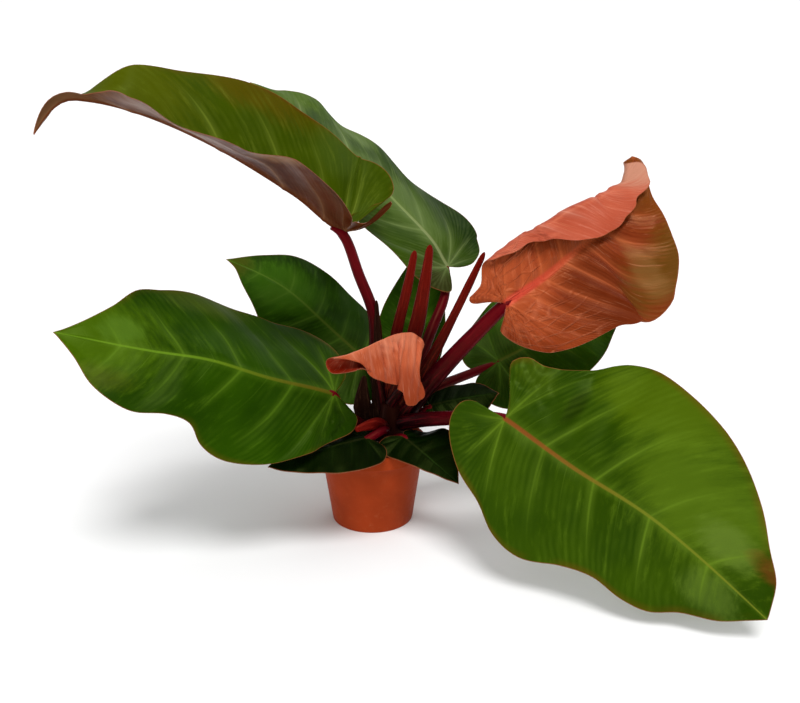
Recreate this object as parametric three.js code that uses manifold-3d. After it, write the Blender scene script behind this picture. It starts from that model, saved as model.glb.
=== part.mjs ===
// Potted red-stemmed philodendron: pot, soil, stem, twelve leaves and six sheaths, in millimetres.
// The pot stands on z = 0 with its axis on the z axis; -y is the front, +x the right-hand side.
import * as THREE from "three";
import { mergeVertices } from "three/addons/utils/BufferGeometryUtils.js";
import Module from "manifold-3d";

const wasm = await Module();
wasm.setup();

// Pot
const POT_HEIGHT = 95;
const POT_RIM_RADIUS = 60;
const POT_FOOT_RADIUS = 45;
const POT_WALL = 1.8;
const POT_FLOOR = 2.4;
const POT_EDGE_ROUND = 0.8;
const RIM_BAND_HEIGHT = 16;
const RIM_BAND_STEP = 1.2;
const RIM_DRAFT = 0.3;
const DRAIN_HOLES = 6;
const DRAIN_HOLE_RADIUS = 4.5;
const DRAIN_RING_RADIUS = 32;
const POT_SIDES = 40;
const DRILL_SIDES = 12;

// Soil
const SOIL_TOP = 84;
const SOIL_DOME = 3;
const SOIL_SHOULDER = { radiusShare: 0.7, riseShare: 0.7 };
const SOIL_CROWN_SHARE = 0.4;

// Leaves and rods
const BLADE_THICKNESS = 1;
const LOBE_SHARE = 0.38;
const ROD_SIDES = 8;
const ROD_STEPS = 7;
const ROD_REFERENCE = new THREE.Vector3(0, 1, 0.3);
const GAP = 0.35;
const WELD_TOLERANCE = 1e-3;

// Curve constants of a side vein: how far along and out its middle control point lies
const VEIN_ALONG = 0.35;
const VEIN_OUT = 0.55;
const CURVE_SAMPLES = 240;
const MARGIN_SAMPLES = 400;
const BEND_STEPS = 24;
const LOBE_LIFT_SHARE = 0.14;
const MIDRIB_BLEND = 6;
const SHORTEST_VEIN = 10;

// Each leaf: midrib points from behind the petiole joint, through it, to the tip; the direction
// that the upper face looks to at even stations; and for each half the outline as (along, out)
// from the joint round the lobe to the tip, with its fold in degrees at even stations.
// "roll" turns a half over, from "start" mm off the midrib and over "span" mm.
const LEAVES = {
  high_left: {
    midrib: [
      [23, 2, 332], [-26, 0, 328], [-75, -15, 368], [-151, -38, 420], [-214, -55, 451],
      [-258, -68, 464], [-283, -75, 464], [-310, -85, 435],
    ],
    up: [
      [0.45, 0, 0.9], [0.45, 0, 0.9], [0.45, 0, 0.9], [0.45, 0, 0.9], [0.42, 0, 0.9],
      [0.4, -0.05, 0.9], [-0.1, 0.3, 0.9], [-0.8, 0.4, 0.5],
    ],
    right: {
      outline: [
        [-4, 18], [-25, 28], [-48, 31], [-58, 38], [-60, 49], [-55, 68], [-40, 84], [-5, 90],
        [40, 87], [90, 86], [131, 89], [179, 77], [215, 62], [249, 50], [272, 36], [300, 20],
        [330, 10],
      ],
      fold: [50, 50, 50, 48, 46, 44, 25, 5],
    },
    left: {
      outline: [
        [-12, 3], [-26, 7], [-42, 14], [-54, 22], [-57, 28], [-48, 25], [-34, 18], [-20, 15],
        [-8, 26], [6, 42], [24, 60], [60, 80], [110, 88], [165, 80], [215, 70], [240, 71],
        [254, 64], [265, 42], [275, 19], [288, 7], [302, 9], [316, 9], [334, 5],
      ],
      fold: [26, 26, 27, 14, 12, 22, 30, 30],
      lift: 45,
    },
    grid: [16, 4, 5],
  },
  high_back: {
    midrib: [
      [106, 92, 248], [86, 95, 267], [68, 99, 296], [22, 112, 343], [-32, 130, 399],
      [-141, 160, 468],
    ],
    up: [[0.53, -0.49, 0.65]],
    right: {
      outline: [
        [-13, 16], [-22, 34], [-18, 60], [14, 73], [50, 73], [80, 64], [105, 57], [135, 56],
        [163, 56], [185, 48], [206, 37], [226, 39], [248, 46], [265, 42], [279, 28], [289, 12],
      ],
      fold: [5, -3, -8, -10, -5, 0],
    },
    left: {
      outline: [
        [-13, 12], [-20, 26], [-6, 40], [15, 53], [50, 60], [100, 66], [150, 64], [200, 54],
        [250, 36], [285, 18],
      ],
      fold: [-5],
    },
    grid: [16, 4, 4],
  },
  back_left: {
    midrib: [[10, 52, 152], [-12, 60, 169], [-44, 75, 194], [-106, 110, 239], [-176, 140, 265]],
    up: [[0.1, -0.7, 0.7]],
    right: {
      outline: [
        [-12, 8], [-28, 22], [-28, 40], [-5, 52], [35, 58], [80, 57], [120, 54], [145, 46],
        [168, 29], [190, 12],
      ],
      fold: [-20, -18, -8, 0],
    },
    left: {
      outline: [
        [-16, 6], [-36, 16], [-40, 36], [-20, 58], [15, 67], [80, 62], [115, 53], [146, 38],
        [171, 23], [193, 6],
      ],
      fold: [0],
    },
    grid: [14, 4, 4],
  },
  front_left: {
    midrib: [
      [-10, -44, 148], [-38, -50, 165], [-103, -70, 190], [-159, -85, 214], [-216, -98, 228],
      [-301, -115, 252],
    ],
    up: [[-0.1, -0.72, 0.69]],
    right: {
      outline: [
        [-6, 12], [-10, 30], [-5, 52], [8, 72], [35, 84], [75, 82], [115, 82], [155, 84], [190, 78],
        [215, 70], [238, 42], [262, 17],
      ],
      fold: [-22, -22, -12, 0],
    },
    left: {
      outline: [
        [-20, 6], [-36, 12], [-38, 26], [-28, 40], [-4, 58], [28, 74], [62, 88], [95, 93],
        [124, 84], [145, 67], [172, 62], [200, 64], [222, 57], [242, 44], [262, 20],
      ],
      fold: [-10, -12, -5, 0],
    },
    grid: [18, 4, 4],
  },
  young_right: {
    midrib: [
      [126, -32, 244], [142, -20, 254], [186, 5, 278], [231, 28, 308], [263, 42, 322],
      [284, 54, 346], [290, 61, 370], [282, 64, 396],
    ],
    up: [[0, -0.87, 0.42]],
    right: {
      outline: [
        [-2, 7], [-14, 14], [-27, 17], [-27, 30], [-18, 50], [-2, 65], [16, 73], [34, 79], [50, 83],
        [67, 87], [81, 91], [94, 99], [106, 102], [118, 102], [128, 103], [138, 107], [144, 106],
        [150, 101], [154, 93], [162, 83], [171, 71], [180, 52], [189, 35], [201, 16], [216, 9],
        [232, 8],
      ],
      fold: [0],
    },
    left: {
      outline: [
        [-8, 12], [-22, 17], [-31, 24], [-30, 29], [-20, 30], [-10, 32], [-3, 40], [3, 50], [8, 58],
        [20, 64], [40, 70], [62, 71], [80, 73], [100, 85], [118, 92], [140, 90], [160, 86],
        [180, 77], [200, 65], [215, 56], [226, 48], [234, 36],
      ],
      fold: [10],
      roll: [175],
      start: [40, 42, 43, 38, 35, 33, 31, 25, 13, 6],
      span: 24,
    },
    grid: [18, 4, 12],
  },
  young_middle: {
    midrib: [
      [60, -33, 229], [43, -42, 229.5], [29, -50, 230.5], [11, -62, 227], [-8, -77, 222],
      [-22, -87.5, 219.5], [-34, -95.5, 219],
    ],
    up: [[0, -0.2, 1]],
    right: {
      outline: [
        [-8, 8], [-14, 20], [-10, 34], [10, 42], [35, 41], [55, 39], [72, 39], [85, 38], [92, 34],
        [97, 18],
      ],
      fold: [-50, -50, -45, -30, -20],
      roll: [0, 0, -100, -190, -190],
      start: [2],
      span: 38,
    },
    left: {
      outline: [
        [-5, 3], [-13, 9], [-17, 16], [-15, 25], [-13, 32], [-12, 44], [-15, 57], [-20, 74],
        [-15, 80], [-8, 84], [-1, 82], [1, 73], [3, 66], [12, 61], [28, 56], [43, 46], [54, 37],
        [59, 29], [61, 22], [65, 15], [70, 11], [78, 6], [87, 2],
      ],
      fold: [-84],
    },
    grid: [16, 12, 4],
  },
  low_right: {
    midrib: [[112, -74, 165], [137, -90, 153], [200, -130, 118], [270, -190, 90], [360, -255, 25]],
    up: [[-0.25, -0.75, 0.6], [-0.33, -0.81, 0.47]],
    right: {
      outline: [
        [-18, 3], [-36, 2], [-47, 10], [-48, 28], [-36, 48], [-8, 70], [30, 84], [60, 100],
        [88, 103], [125, 87], [160, 78], [200, 77], [228, 69], [250, 50], [278, 32], [296, 13],
      ],
      fold: [0],
    },
    left: {
      outline: [
        [0, 5], [-6, 17], [-22, 40], [-28, 54], [-18, 66], [2, 69], [35, 88], [70, 118], [100, 126],
        [145, 119], [195, 100], [240, 72], [268, 48], [291, 30], [302, 12],
      ],
      fold: [0],
    },
    grid: [18, 4, 4],
  },
  back_right: {
    midrib: [[118, 50, 155], [144, 60, 164], [187, 74, 182], [241, 98, 204], [313, 130, 222]],
    up: [[-0.1, -0.75, 0.65]],
    right: {
      outline: [
        [-33, 8], [-41, 20], [-37, 38], [-20, 57], [15, 66], [50, 66], [88, 61], [115, 51],
        [139, 34], [160, 18],
      ],
      fold: [0],
    },
    left: {
      outline: [
        [-31, 3], [-37, 14], [-34, 28], [-24, 42], [3, 58], [32, 70], [65, 70], [105, 57],
        [140, 36], [168, 16],
      ],
      fold: [0],
    },
    grid: [14, 4, 4],
  },
  small_left: {
    midrib: [[8, -45, 115], [-5, -50, 115], [-52, -72, 111], [-104, -95, 102]],
    up: [[-0.1, -0.6, 0.8]],
    right: {
      outline: [[-11, 5], [-13, 9], [-9, 14], [4, 19], [23, 23], [48, 22], [74, 16], [97, 8]],
      fold: [-20],
    },
    left: {
      outline: [[-15, 11], [-18, 20], [-13, 30], [2, 36], [23, 37], [48, 32], [74, 23], [97, 11]],
      fold: [0],
    },
    grid: [10, 3, 3],
  },
  small_front: {
    midrib: [[26, -30, 118], [35, -38, 112], [63, -64, 97], [92, -85, 78]],
    up: [[0.1, -0.7, 0.75]],
    right: {
      outline: [[-6, 6], [-12, 16], [-10, 27], [2, 30], [18, 25], [35, 19], [52, 12], [68, 6]],
      fold: [0],
    },
    left: {
      outline: [[-5, 5], [-7, 11], [-3, 19], [8, 29], [22, 37], [37, 38], [52, 30], [68, 14]],
      fold: [-30, 2, 24, 14],
    },
    grid: [10, 3, 3],
  },
  small_back: {
    midrib: [[47, 55, 152], [48, 58, 166], [52, 80, 217], [59, 108, 276]],
    up: [[0, -0.9, 0.4]],
    right: {
      outline: [[-12, 9], [-14, 16], [-9, 23], [4, 29], [27, 32], [57, 31], [86, 23], [113, 12]],
      fold: [0],
    },
    left: {
      outline: [[-14, 14], [-17, 26], [-12, 38], [3, 47], [27, 47], [57, 41], [86, 29], [113, 14]],
      fold: [0],
    },
    grid: [10, 3, 3],
  },
  small_right: {
    midrib: [[54, -2, 129], [64, -1, 133], [99, 2, 140], [140, 6, 145]],
    up: [[0, -0.5, 0.87]],
    right: {
      outline: [[-10, 7], [-12, 13], [-9, 19], [2, 23], [18, 26], [38, 26], [58, 20], [70, 8]],
      fold: [-20],
    },
    left: {
      outline: [[-10, 4], [-12, 9], [-9, 14], [2, 17], [18, 21], [38, 23], [58, 19], [70, 8]],
      fold: [-9, -5],
    },
    grid: [10, 3, 3],
  },
};

// Each rod: its centre points from the base to the tip, and its radii at even stations.
const PETIOLES = {
  young_right: {
    path: [[35, 0, 122], [67, -10, 167], [106, -17, 215], [142, -20, 254]],
    radii: [10.5, 10, 9, 8, 7.2],
  },
  high_left: {
    path: [[13, 8, 128], [6, 8, 171], [3, 6, 234], [-12, 2, 279], [-26, 0, 327]],
    radii: [9, 8.5, 6.5, 6, 5.5],
  },
  high_back: {
    path: [[30, 12, 128], [51, 28, 170], [66, 48, 204], [82, 76, 238], [86, 95, 267]],
    radii: [8, 6.5, 6.2, 5.5, 4.5],
  },
  low_right: { path: [[33, -10, 116], [63, -36, 131], [137, -90, 153]], radii: [8, 7.5, 6] },
  front_left: {
    path: [[8, -8, 104], [-12, -24, 119], [-32, -43, 146], [-37, -49, 163]],
    radii: [9, 7, 6, 5],
  },
  back_right: { path: [[34, 9, 127], [72, 29, 143], [144, 60, 164]], radii: [7, 5.5, 4.6] },
  back_left: { path: [[12, 12, 112], [5, 35, 152], [-12, 60, 169]], radii: [7, 5, 4] },
  young_middle: { path: [[21, -8, 138], [40, -20, 176], [45, -37, 214]], radii: [6, 4.5, 3.2] },
  small_back: { path: [[24, 14, 118], [46, 34, 148], [48, 58, 166]], radii: [6, 4.5, 4] },
  small_left: { path: [[10, -10, 100], [13, -32, 117], [-5, -50, 115]], radii: [6, 5, 4] },
  small_front: { path: [[22, -14, 98], [35, -38, 112]], radii: [5, 3.5] },
  small_right: { path: [[34, 0, 104], [64, -1, 133]], radii: [6.5, 4.5] },
};
const SHEATHS = {
  left: {
    path: [[17, 4, 140], [27, 10, 211], [38, 15, 258], [47, 20, 302]],
    radii: [6.5, 6, 5.2, 4.6, 3],
  },
  middle: {
    path: [[25, 0, 140], [48, 5, 218], [57, 9, 266], [63, 12, 310]],
    radii: [7.5, 7.5, 7.2, 5.6, 3.2],
  },
  right: {
    path: [[34, -2, 132], [63, -5, 185], [87, -2, 233], [120, 3, 304]],
    radii: [9, 7.5, 5, 4, 3.7, 2.4],
  },
  low: { path: [[14, -14, 110], [4, -40, 127], [-16, -57, 127]], radii: [6, 7, 2.5] },
  dry_tall: { path: [[6, 2, 112], [7, 0, 202], [6, -2, 253]], radii: [6, 5, 1.5] },
  dry_short: { path: [[4, 2, 98], [-9, 2, 124], [-8, 4, 166]], radii: [7, 9, 2] },
};
const STEM = { path: [[22, 0, 60], [22, 0, 100], [22, 0, 138]], radii: [14, 16, 11] };

// Colours and finish
const PLASTIC = { color: 0x8f3a20, roughness: 0.55 };
const SOIL = { color: 0x2b1d14, roughness: 1 };
const OLD_GREEN = { color: 0x2f5a12, roughness: 0.4 };
const DARK_GREEN = { color: 0x143a10, roughness: 0.4 };
const YOUNG_ORANGE = { color: 0xb5522a, roughness: 0.4 };
const CRIMSON = { color: 0x6e0f1c, roughness: 0.4 };
const SHEATH_RED = { color: 0x8c1c1a, roughness: 0.5 };
const DRY_BROWN = { color: 0x2c1512, roughness: 0.8 };
const BLADE_FINISH = {
  high_left: OLD_GREEN,
  high_back: OLD_GREEN,
  back_left: DARK_GREEN,
  front_left: OLD_GREEN,
  young_right: YOUNG_ORANGE,
  young_middle: YOUNG_ORANGE,
  low_right: OLD_GREEN,
  back_right: DARK_GREEN,
  small_left: DARK_GREEN,
  small_front: DARK_GREEN,
  small_back: DARK_GREEN,
  small_right: DARK_GREEN,
};

const clamp = THREE.MathUtils.clamp;

// The knots of a smooth curve, spaced by the square root of the chords between its points.
function knotsOf(points) {
  const knots = [0];
  for (let i = 1; i < points.length; i++) {
    const chord = Math.hypot(...points[i].map((c, k) => c - points[i - 1][k]));
    knots.push(knots[i - 1] + Math.sqrt(Math.max(chord, 1e-9)));
  }
  return knots.map((u) => u / knots[knots.length - 1]);
}

// The curve's slope at each knot; both ends are left to bend as a parabola does.
function slopesOf(points, knots) {
  const last = points.length - 1;
  const chordSlope = (i, k) => (points[i + 1][k] - points[i][k]) / (knots[i + 1] - knots[i]);
  const slopes = points.map((point, i) =>
    point.map((_, k) => {
      if (i === 0 || i === last) return 0;
      const before = knots[i] - knots[i - 1];
      const after = knots[i + 1] - knots[i];
      return (chordSlope(i - 1, k) * after + chordSlope(i, k) * before) / (before + after);
    }),
  );
  for (const k of points[0].keys()) {
    slopes[0][k] = (3 * chordSlope(0, k) - slopes[1][k]) / 2;
    slopes[last][k] = (3 * chordSlope(last - 1, k) - slopes[last - 1][k]) / 2;
  }
  return slopes;
}

// A smooth curve through the points, as a function of the share 0..1 along its knots.
function smoothCurve(points) {
  const knots = knotsOf(points);
  const slopes = slopesOf(points, knots);
  return (share) => {
    const at = clamp(share, 0, 1);
    let i = 0;
    while (i < points.length - 2 && knots[i + 1] <= at) i++;
    const width = knots[i + 1] - knots[i];
    const x = (at - knots[i]) / width;
    const fall = 2 * x ** 3 - 3 * x ** 2 + 1;
    const leaving = (x ** 3 - 2 * x ** 2 + x) * width;
    const arriving = (x ** 3 - x ** 2) * width;
    return points[i].map((value, k) => {
      const between = fall * value + (1 - fall) * points[i + 1][k];
      return between + leaving * slopes[i][k] + arriving * slopes[i + 1][k];
    });
  };
}

// The value at a share 0..1 of a list of evenly spaced station values.
function stationValue(values, share) {
  if (values.length === 1) return values[0];
  const x = clamp(share, 0, 1) * (values.length - 1);
  const i = Math.min(Math.floor(x), values.length - 2);
  const f = THREE.MathUtils.smoothstep(x - i, 0, 1);
  return values[i] * (1 - f) + values[i + 1] * f;
}

// A table of positions by length along a sampled curve.
function lengthTable(samples) {
  const lengths = [0];
  for (let i = 1; i < samples.length; i++) {
    lengths.push(lengths[i - 1] + Math.hypot(...samples[i].map((c, k) => c - samples[i - 1][k])));
  }
  return lengths;
}

function interpolate(lengths, samples, at) {
  const wanted = clamp(at, lengths[0], lengths[lengths.length - 1]);
  let i = 0;
  while (i < lengths.length - 2 && lengths[i + 1] < wanted) i++;
  const f = (wanted - lengths[i]) / (lengths[i + 1] - lengths[i]);
  return samples[i].map((c, k) => c * (1 - f) + samples[i + 1][k] * f);
}

function sampled(curve, count) {
  return Array.from({ length: count }, (_, i) => curve(i / (count - 1)));
}

// The curved surface of one leaf blade.
class LeafSurface {
  constructor(leaf) {
    this.leaf = leaf;
    const knots = knotsOf(leaf.midrib);
    const curve = smoothCurve(leaf.midrib);
    this.samples = sampled(curve, CURVE_SAMPLES);
    const lengths = lengthTable(this.samples);
    const jointSample = knots[1] * (CURVE_SAMPLES - 1);
    const low = Math.floor(jointSample);
    const joint = lengths[low] + (lengths[low + 1] - lengths[low]) * (jointSample - low);
    this.lengths = lengths.map((value) => value - joint);
    this.length = this.lengths[CURVE_SAMPLES - 1];
    this.directions = this.samples.map((_, i) => {
      const a = this.samples[Math.max(i - 1, 0)];
      const b = this.samples[Math.min(i + 1, CURVE_SAMPLES - 1)];
      return new THREE.Vector3(...b).sub(new THREE.Vector3(...a)).normalize().toArray();
    });
    this.margins = new Map();
  }

  // The midrib point with its direction, upward normal and right-hand direction.
  frame(along) {
    const point = new THREE.Vector3(...interpolate(this.lengths, this.samples, along));
    const direction = new THREE.Vector3(...interpolate(this.lengths, this.directions, along));
    direction.normalize();
    const beyond = Math.min(along - this.lengths[0], 0) + Math.max(along - this.length, 0);
    point.addScaledVector(direction, beyond);
    const share = clamp(along / this.length, 0, 1);
    const upAlong = (axis) => stationValue(this.leaf.up.map((u) => u[axis]), share);
    const up = new THREE.Vector3(upAlong(0), upAlong(1), upAlong(2));
    const normal = up.addScaledVector(direction, -up.dot(direction)).normalize();
    const right = new THREE.Vector3().crossVectors(direction, normal);
    return { point, normal, right, share };
  }

  // The point and normal of the bent blade at (along, out) of the flat blade.
  place(along, out, side) {
    const { point, normal, right, share } = this.frame(along);
    const half = side > 0 ? this.leaf.right : this.leaf.left;
    const lobe = clamp(-along / (LOBE_LIFT_SHARE * this.length), 0, 1);
    const fold = stationValue(half.fold, share) + (half.lift || 0) * lobe;
    const roll = half.roll ? stationValue(half.roll, share) : 0;
    const start = half.start ? stationValue(half.start, share) : 0;
    const angleAt = (b) => {
      const turned = THREE.MathUtils.smoothstep(b, start, start + (half.span || 1));
      return THREE.MathUtils.degToRad(fold + roll * turned);
    };
    let across = 0;
    let rise = 0;
    for (let k = 0; k < BEND_STEPS; k++) {
      const angle = angleAt((out * (k + 0.5)) / BEND_STEPS);
      across += (Math.cos(angle) * out) / BEND_STEPS;
      rise += (Math.sin(angle) * out) / BEND_STEPS;
    }
    const angle = angleAt(out);
    const faceNormal = normal
      .clone()
      .multiplyScalar(Math.cos(angle))
      .addScaledVector(right, -Math.sin(angle) * side);
    const blend = clamp(out / MIDRIB_BLEND, 0, 1);
    return {
      point: point.clone().addScaledVector(right, across * side).addScaledVector(normal, rise),
      normal: normal.clone().lerp(faceNormal, blend).normalize(),
    };
  }

  marginPoint(round, side) {
    if (!this.margins.has(side)) {
      const outline = (side > 0 ? this.leaf.right : this.leaf.left).outline;
      const curve = smoothCurve([[0, 0], ...outline, [this.length, 0]]);
      const samples = sampled(curve, MARGIN_SAMPLES);
      this.margins.set(side, { samples, lengths: lengthTable(samples) });
    }
    const { samples, lengths } = this.margins.get(side);
    const [a, b] = interpolate(lengths, samples, round * lengths[MARGIN_SAMPLES - 1]);
    return [a, Math.max(b, 0)];
  }

  // The flat position at a share "round" the margin and a share "out" along the side vein there.
  flat(round, out, side) {
    const [marginAlong, marginOut] = this.marginPoint(round, side);
    const origin = this.length * clamp((round - LOBE_SHARE) / (1 - LOBE_SHARE), 0, 1);
    const middleAlong = origin + (marginAlong - origin) * VEIN_ALONG;
    const near = (1 - out) ** 2;
    const middle = 2 * out * (1 - out);
    const far = out ** 2;
    const along = near * origin + middle * middleAlong + far * marginAlong;
    return [along, (middle * VEIN_OUT + far) * marginOut];
  }
}

const SURFACES = {};
for (const [name, leaf] of Object.entries(LEAVES)) SURFACES[name] = new LeafSurface(leaf);

// A closed shell round one blade: two faces and a rim; "extra" grows it on every side.
function bladeGeometry(name, extra = 0) {
  const surface = SURFACES[name];
  const [rounds, rightSteps, leftSteps] = LEAVES[name].grid;
  const half = BLADE_THICKNESS / 2 + extra;
  const positions = [];
  for (const side of [1, -1]) {
    const add = (...corners) => positions.push(...(side < 0 ? corners.reverse() : corners).flat());
    const steps = side > 0 ? rightSteps : leftSteps;
    const columns = Array.from({ length: rounds + 1 }, (_, i) => {
      const reach = Math.hypot(...surface.marginPoint(i / rounds, side));
      const stretch = 1 + extra / Math.max(reach, SHORTEST_VEIN);
      return Array.from({ length: steps + 1 }, (_, j) => {
        const [along, out] = surface.flat(i / rounds, (j / steps) * stretch, side);
        const { point, normal } = surface.place(along, out, side);
        return {
          top: point.clone().addScaledVector(normal, half).toArray(),
          bottom: point.clone().addScaledVector(normal, -half).toArray(),
        };
      });
    });
    for (let i = 0; i < rounds; i++) {
      const [here, next] = [columns[i], columns[i + 1]];
      for (let j = 0; j < steps; j++) {
        const [a, b, c, d] = [here[j], here[j + 1], next[j + 1], next[j]];
        add(a.top, b.top, c.top);
        add(a.top, c.top, d.top);
        add(c.bottom, b.bottom, a.bottom);
        add(d.bottom, c.bottom, a.bottom);
      }
      const [from, to] = [here[steps], next[steps]];
      add(from.top, from.bottom, to.bottom);
      add(from.top, to.bottom, to.top);
    }
  }
  return weldedGeometry(positions);
}

// Merged vertices with the triangles that shrank to nothing left out.
function weldedGeometry(positions) {
  const raw = new THREE.BufferGeometry();
  raw.setAttribute("position", new THREE.Float32BufferAttribute(positions, 3));
  const merged = mergeVertices(raw, WELD_TOLERANCE);
  const kept = [];
  const index = merged.index.array;
  for (let i = 0; i < index.length; i += 3) {
    const [a, b, c] = [index[i], index[i + 1], index[i + 2]];
    if (a !== b && b !== c && c !== a) kept.push(a, b, c);
  }
  merged.setIndex(kept);
  return merged;
}

// A closed tube along a rod's path; "extra" grows it on every side.
function rodGeometry(rod, extra = 0) {
  const curve = smoothCurve(rod.path);
  const centres = sampled(curve, ROD_STEPS + 1).map((p) => new THREE.Vector3(...p));
  const rings = centres.map((centre, i) => {
    const before = centres[Math.max(i - 1, 0)];
    const after = centres[Math.min(i + 1, ROD_STEPS)];
    const direction = after.clone().sub(before).normalize();
    const side = ROD_REFERENCE.clone().cross(direction).normalize();
    const other = new THREE.Vector3().crossVectors(direction, side);
    const radius = stationValue(rod.radii, i / ROD_STEPS) + extra;
    const shift = i === 0 ? -extra : i === ROD_STEPS ? extra : 0;
    const middle = centre.clone().addScaledVector(direction, shift);
    return Array.from({ length: ROD_SIDES }, (_, k) => {
      const turn = (k / ROD_SIDES) * 2 * Math.PI;
      return middle
        .clone()
        .addScaledVector(side, Math.cos(turn) * radius)
        .addScaledVector(other, Math.sin(turn) * radius)
        .toArray();
    });
  });
  const positions = [];
  const add = (...corners) => positions.push(...corners.flat());
  for (let k = 0; k < ROD_SIDES; k++) {
    const next = (k + 1) % ROD_SIDES;
    for (let i = 0; i < ROD_STEPS; i++) {
      add(rings[i][k], rings[i][next], rings[i + 1][next]);
      add(rings[i][k], rings[i + 1][next], rings[i + 1][k]);
    }
    if (k > 0 && next > 0) {
      add(rings[0][0], rings[0][next], rings[0][k]);
      add(rings[ROD_STEPS][0], rings[ROD_STEPS][k], rings[ROD_STEPS][next]);
    }
  }
  return weldedGeometry(positions);
}

function solidOf(geometry) {
  const bare = geometry.clone().deleteAttribute("normal").deleteAttribute("uv");
  const merged = mergeVertices(bare, WELD_TOLERANCE);
  return new wasm.Manifold(
    new wasm.Mesh({
      numProp: 3,
      vertProperties: merged.attributes.position.array,
      triVerts: new Uint32Array(merged.index.array),
    }),
  );
}

// The largest body of a cut solid.
function largestBody(solid) {
  return solid.decompose().reduce((best, body) => (body.volume() > best.volume() ? body : best));
}

function meshOf(name, solid, finish) {
  const data = solid.getMesh();
  const geometry = new THREE.BufferGeometry();
  geometry.setAttribute("position", new THREE.Float32BufferAttribute(data.vertProperties, 3));
  geometry.setIndex(new THREE.Uint32BufferAttribute(data.triVerts, 1));
  const flat = geometry.toNonIndexed();
  flat.computeVertexNormals();
  const mesh = new THREE.Mesh(flat, new THREE.MeshStandardMaterial({ ...finish, metalness: 0 }));
  mesh.name = name;
  return mesh;
}

// A solid turned round the z axis from (radius, height) points that run down the outside.
function lathe(profile) {
  const points = profile.map(([radius, height]) => new THREE.Vector2(radius, height));
  const turned = new THREE.LatheGeometry(points, POT_SIDES).rotateX(Math.PI / 2).toNonIndexed();
  return solidOf(weldedGeometry(turned.attributes.position.array));
}

// The pot's outer radius at a height, without its rim band.
function potOuterRadius(height) {
  const share = height / POT_HEIGHT;
  return POT_FOOT_RADIUS + (POT_RIM_RADIUS - RIM_BAND_STEP - POT_FOOT_RADIUS) * share;
}

function potSolid() {
  const bandBottom = POT_HEIGHT - RIM_BAND_HEIGHT;
  const inner = (height) => potOuterRadius(height) - POT_WALL;
  let pot = lathe([
    [0, 0],
    [POT_FOOT_RADIUS - POT_EDGE_ROUND, 0],
    [POT_FOOT_RADIUS, POT_EDGE_ROUND],
    [potOuterRadius(bandBottom), bandBottom],
    [POT_RIM_RADIUS - RIM_DRAFT, bandBottom + RIM_BAND_STEP],
    [POT_RIM_RADIUS, POT_HEIGHT - POT_EDGE_ROUND],
    [POT_RIM_RADIUS - POT_EDGE_ROUND, POT_HEIGHT],
    [inner(POT_HEIGHT) + POT_EDGE_ROUND / 2, POT_HEIGHT],
    [inner(POT_HEIGHT), POT_HEIGHT - POT_EDGE_ROUND],
    [inner(POT_FLOOR), POT_FLOOR],
    [0, POT_FLOOR],
  ]);
  const drill = new THREE.CylinderGeometry(
    DRAIN_HOLE_RADIUS,
    DRAIN_HOLE_RADIUS,
    4 * POT_FLOOR,
    DRILL_SIDES,
  );
  drill.rotateX(Math.PI / 2).translate(DRAIN_RING_RADIUS, 0, 0);
  for (let i = 0; i < DRAIN_HOLES; i++) {
    const turn = (i / DRAIN_HOLES) * 2 * Math.PI;
    pot = pot.subtract(solidOf(drill.clone().rotateZ(turn)));
  }
  return pot;
}

function soilSolid(stemRoom) {
  const radiusAt = (height) => potOuterRadius(height) - POT_WALL - GAP;
  const bottom = POT_FLOOR + GAP;
  const topRadius = radiusAt(SOIL_TOP);
  const { radiusShare, riseShare } = SOIL_SHOULDER;
  const body = lathe([
    [0, bottom],
    [radiusAt(bottom), bottom],
    [topRadius, SOIL_TOP],
    [topRadius * radiusShare, SOIL_TOP + SOIL_DOME * riseShare],
    [topRadius * SOIL_CROWN_SHARE, SOIL_TOP + SOIL_DOME],
    [0, SOIL_TOP + SOIL_DOME],
  ]);
  return body.subtract(stemRoom);
}

const group = new THREE.Group();
group.name = "potted_philodendron";

group.add(meshOf("pot", potSolid(), PLASTIC));
const stem = solidOf(rodGeometry(STEM));
const stemRoom = solidOf(rodGeometry(STEM, GAP));
group.add(meshOf("soil", soilSolid(stemRoom), SOIL));
group.add(meshOf("stem", stem, CRIMSON));

const blocked = [stemRoom];
for (const name of Object.keys(LEAVES)) {
  group.add(meshOf(`blade_${name}`, solidOf(bladeGeometry(name)), BLADE_FINISH[name]));
  blocked.push(solidOf(bladeGeometry(name, GAP)));
}

// Each rod gives way to the stem, the blades and the rods before it.
function addRod(name, rod, finish) {
  const cut = blocked.reduce((solid, room) => solid.subtract(room), solidOf(rodGeometry(rod)));
  group.add(meshOf(name, largestBody(cut), finish));
  blocked.push(solidOf(rodGeometry(rod, GAP)));
}

for (const [name, rod] of Object.entries(PETIOLES)) addRod(`petiole_${name}`, rod, CRIMSON);
for (const [name, rod] of Object.entries(SHEATHS)) {
  addRod(`sheath_${name}`, rod, name.startsWith("dry") ? DRY_BROWN : SHEATH_RED);
}

export default group;
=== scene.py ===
"""Potted red-stemmed philodendron: pot, soil, stem, leaves, stalks and sheaths round the frame."""

import math

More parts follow.
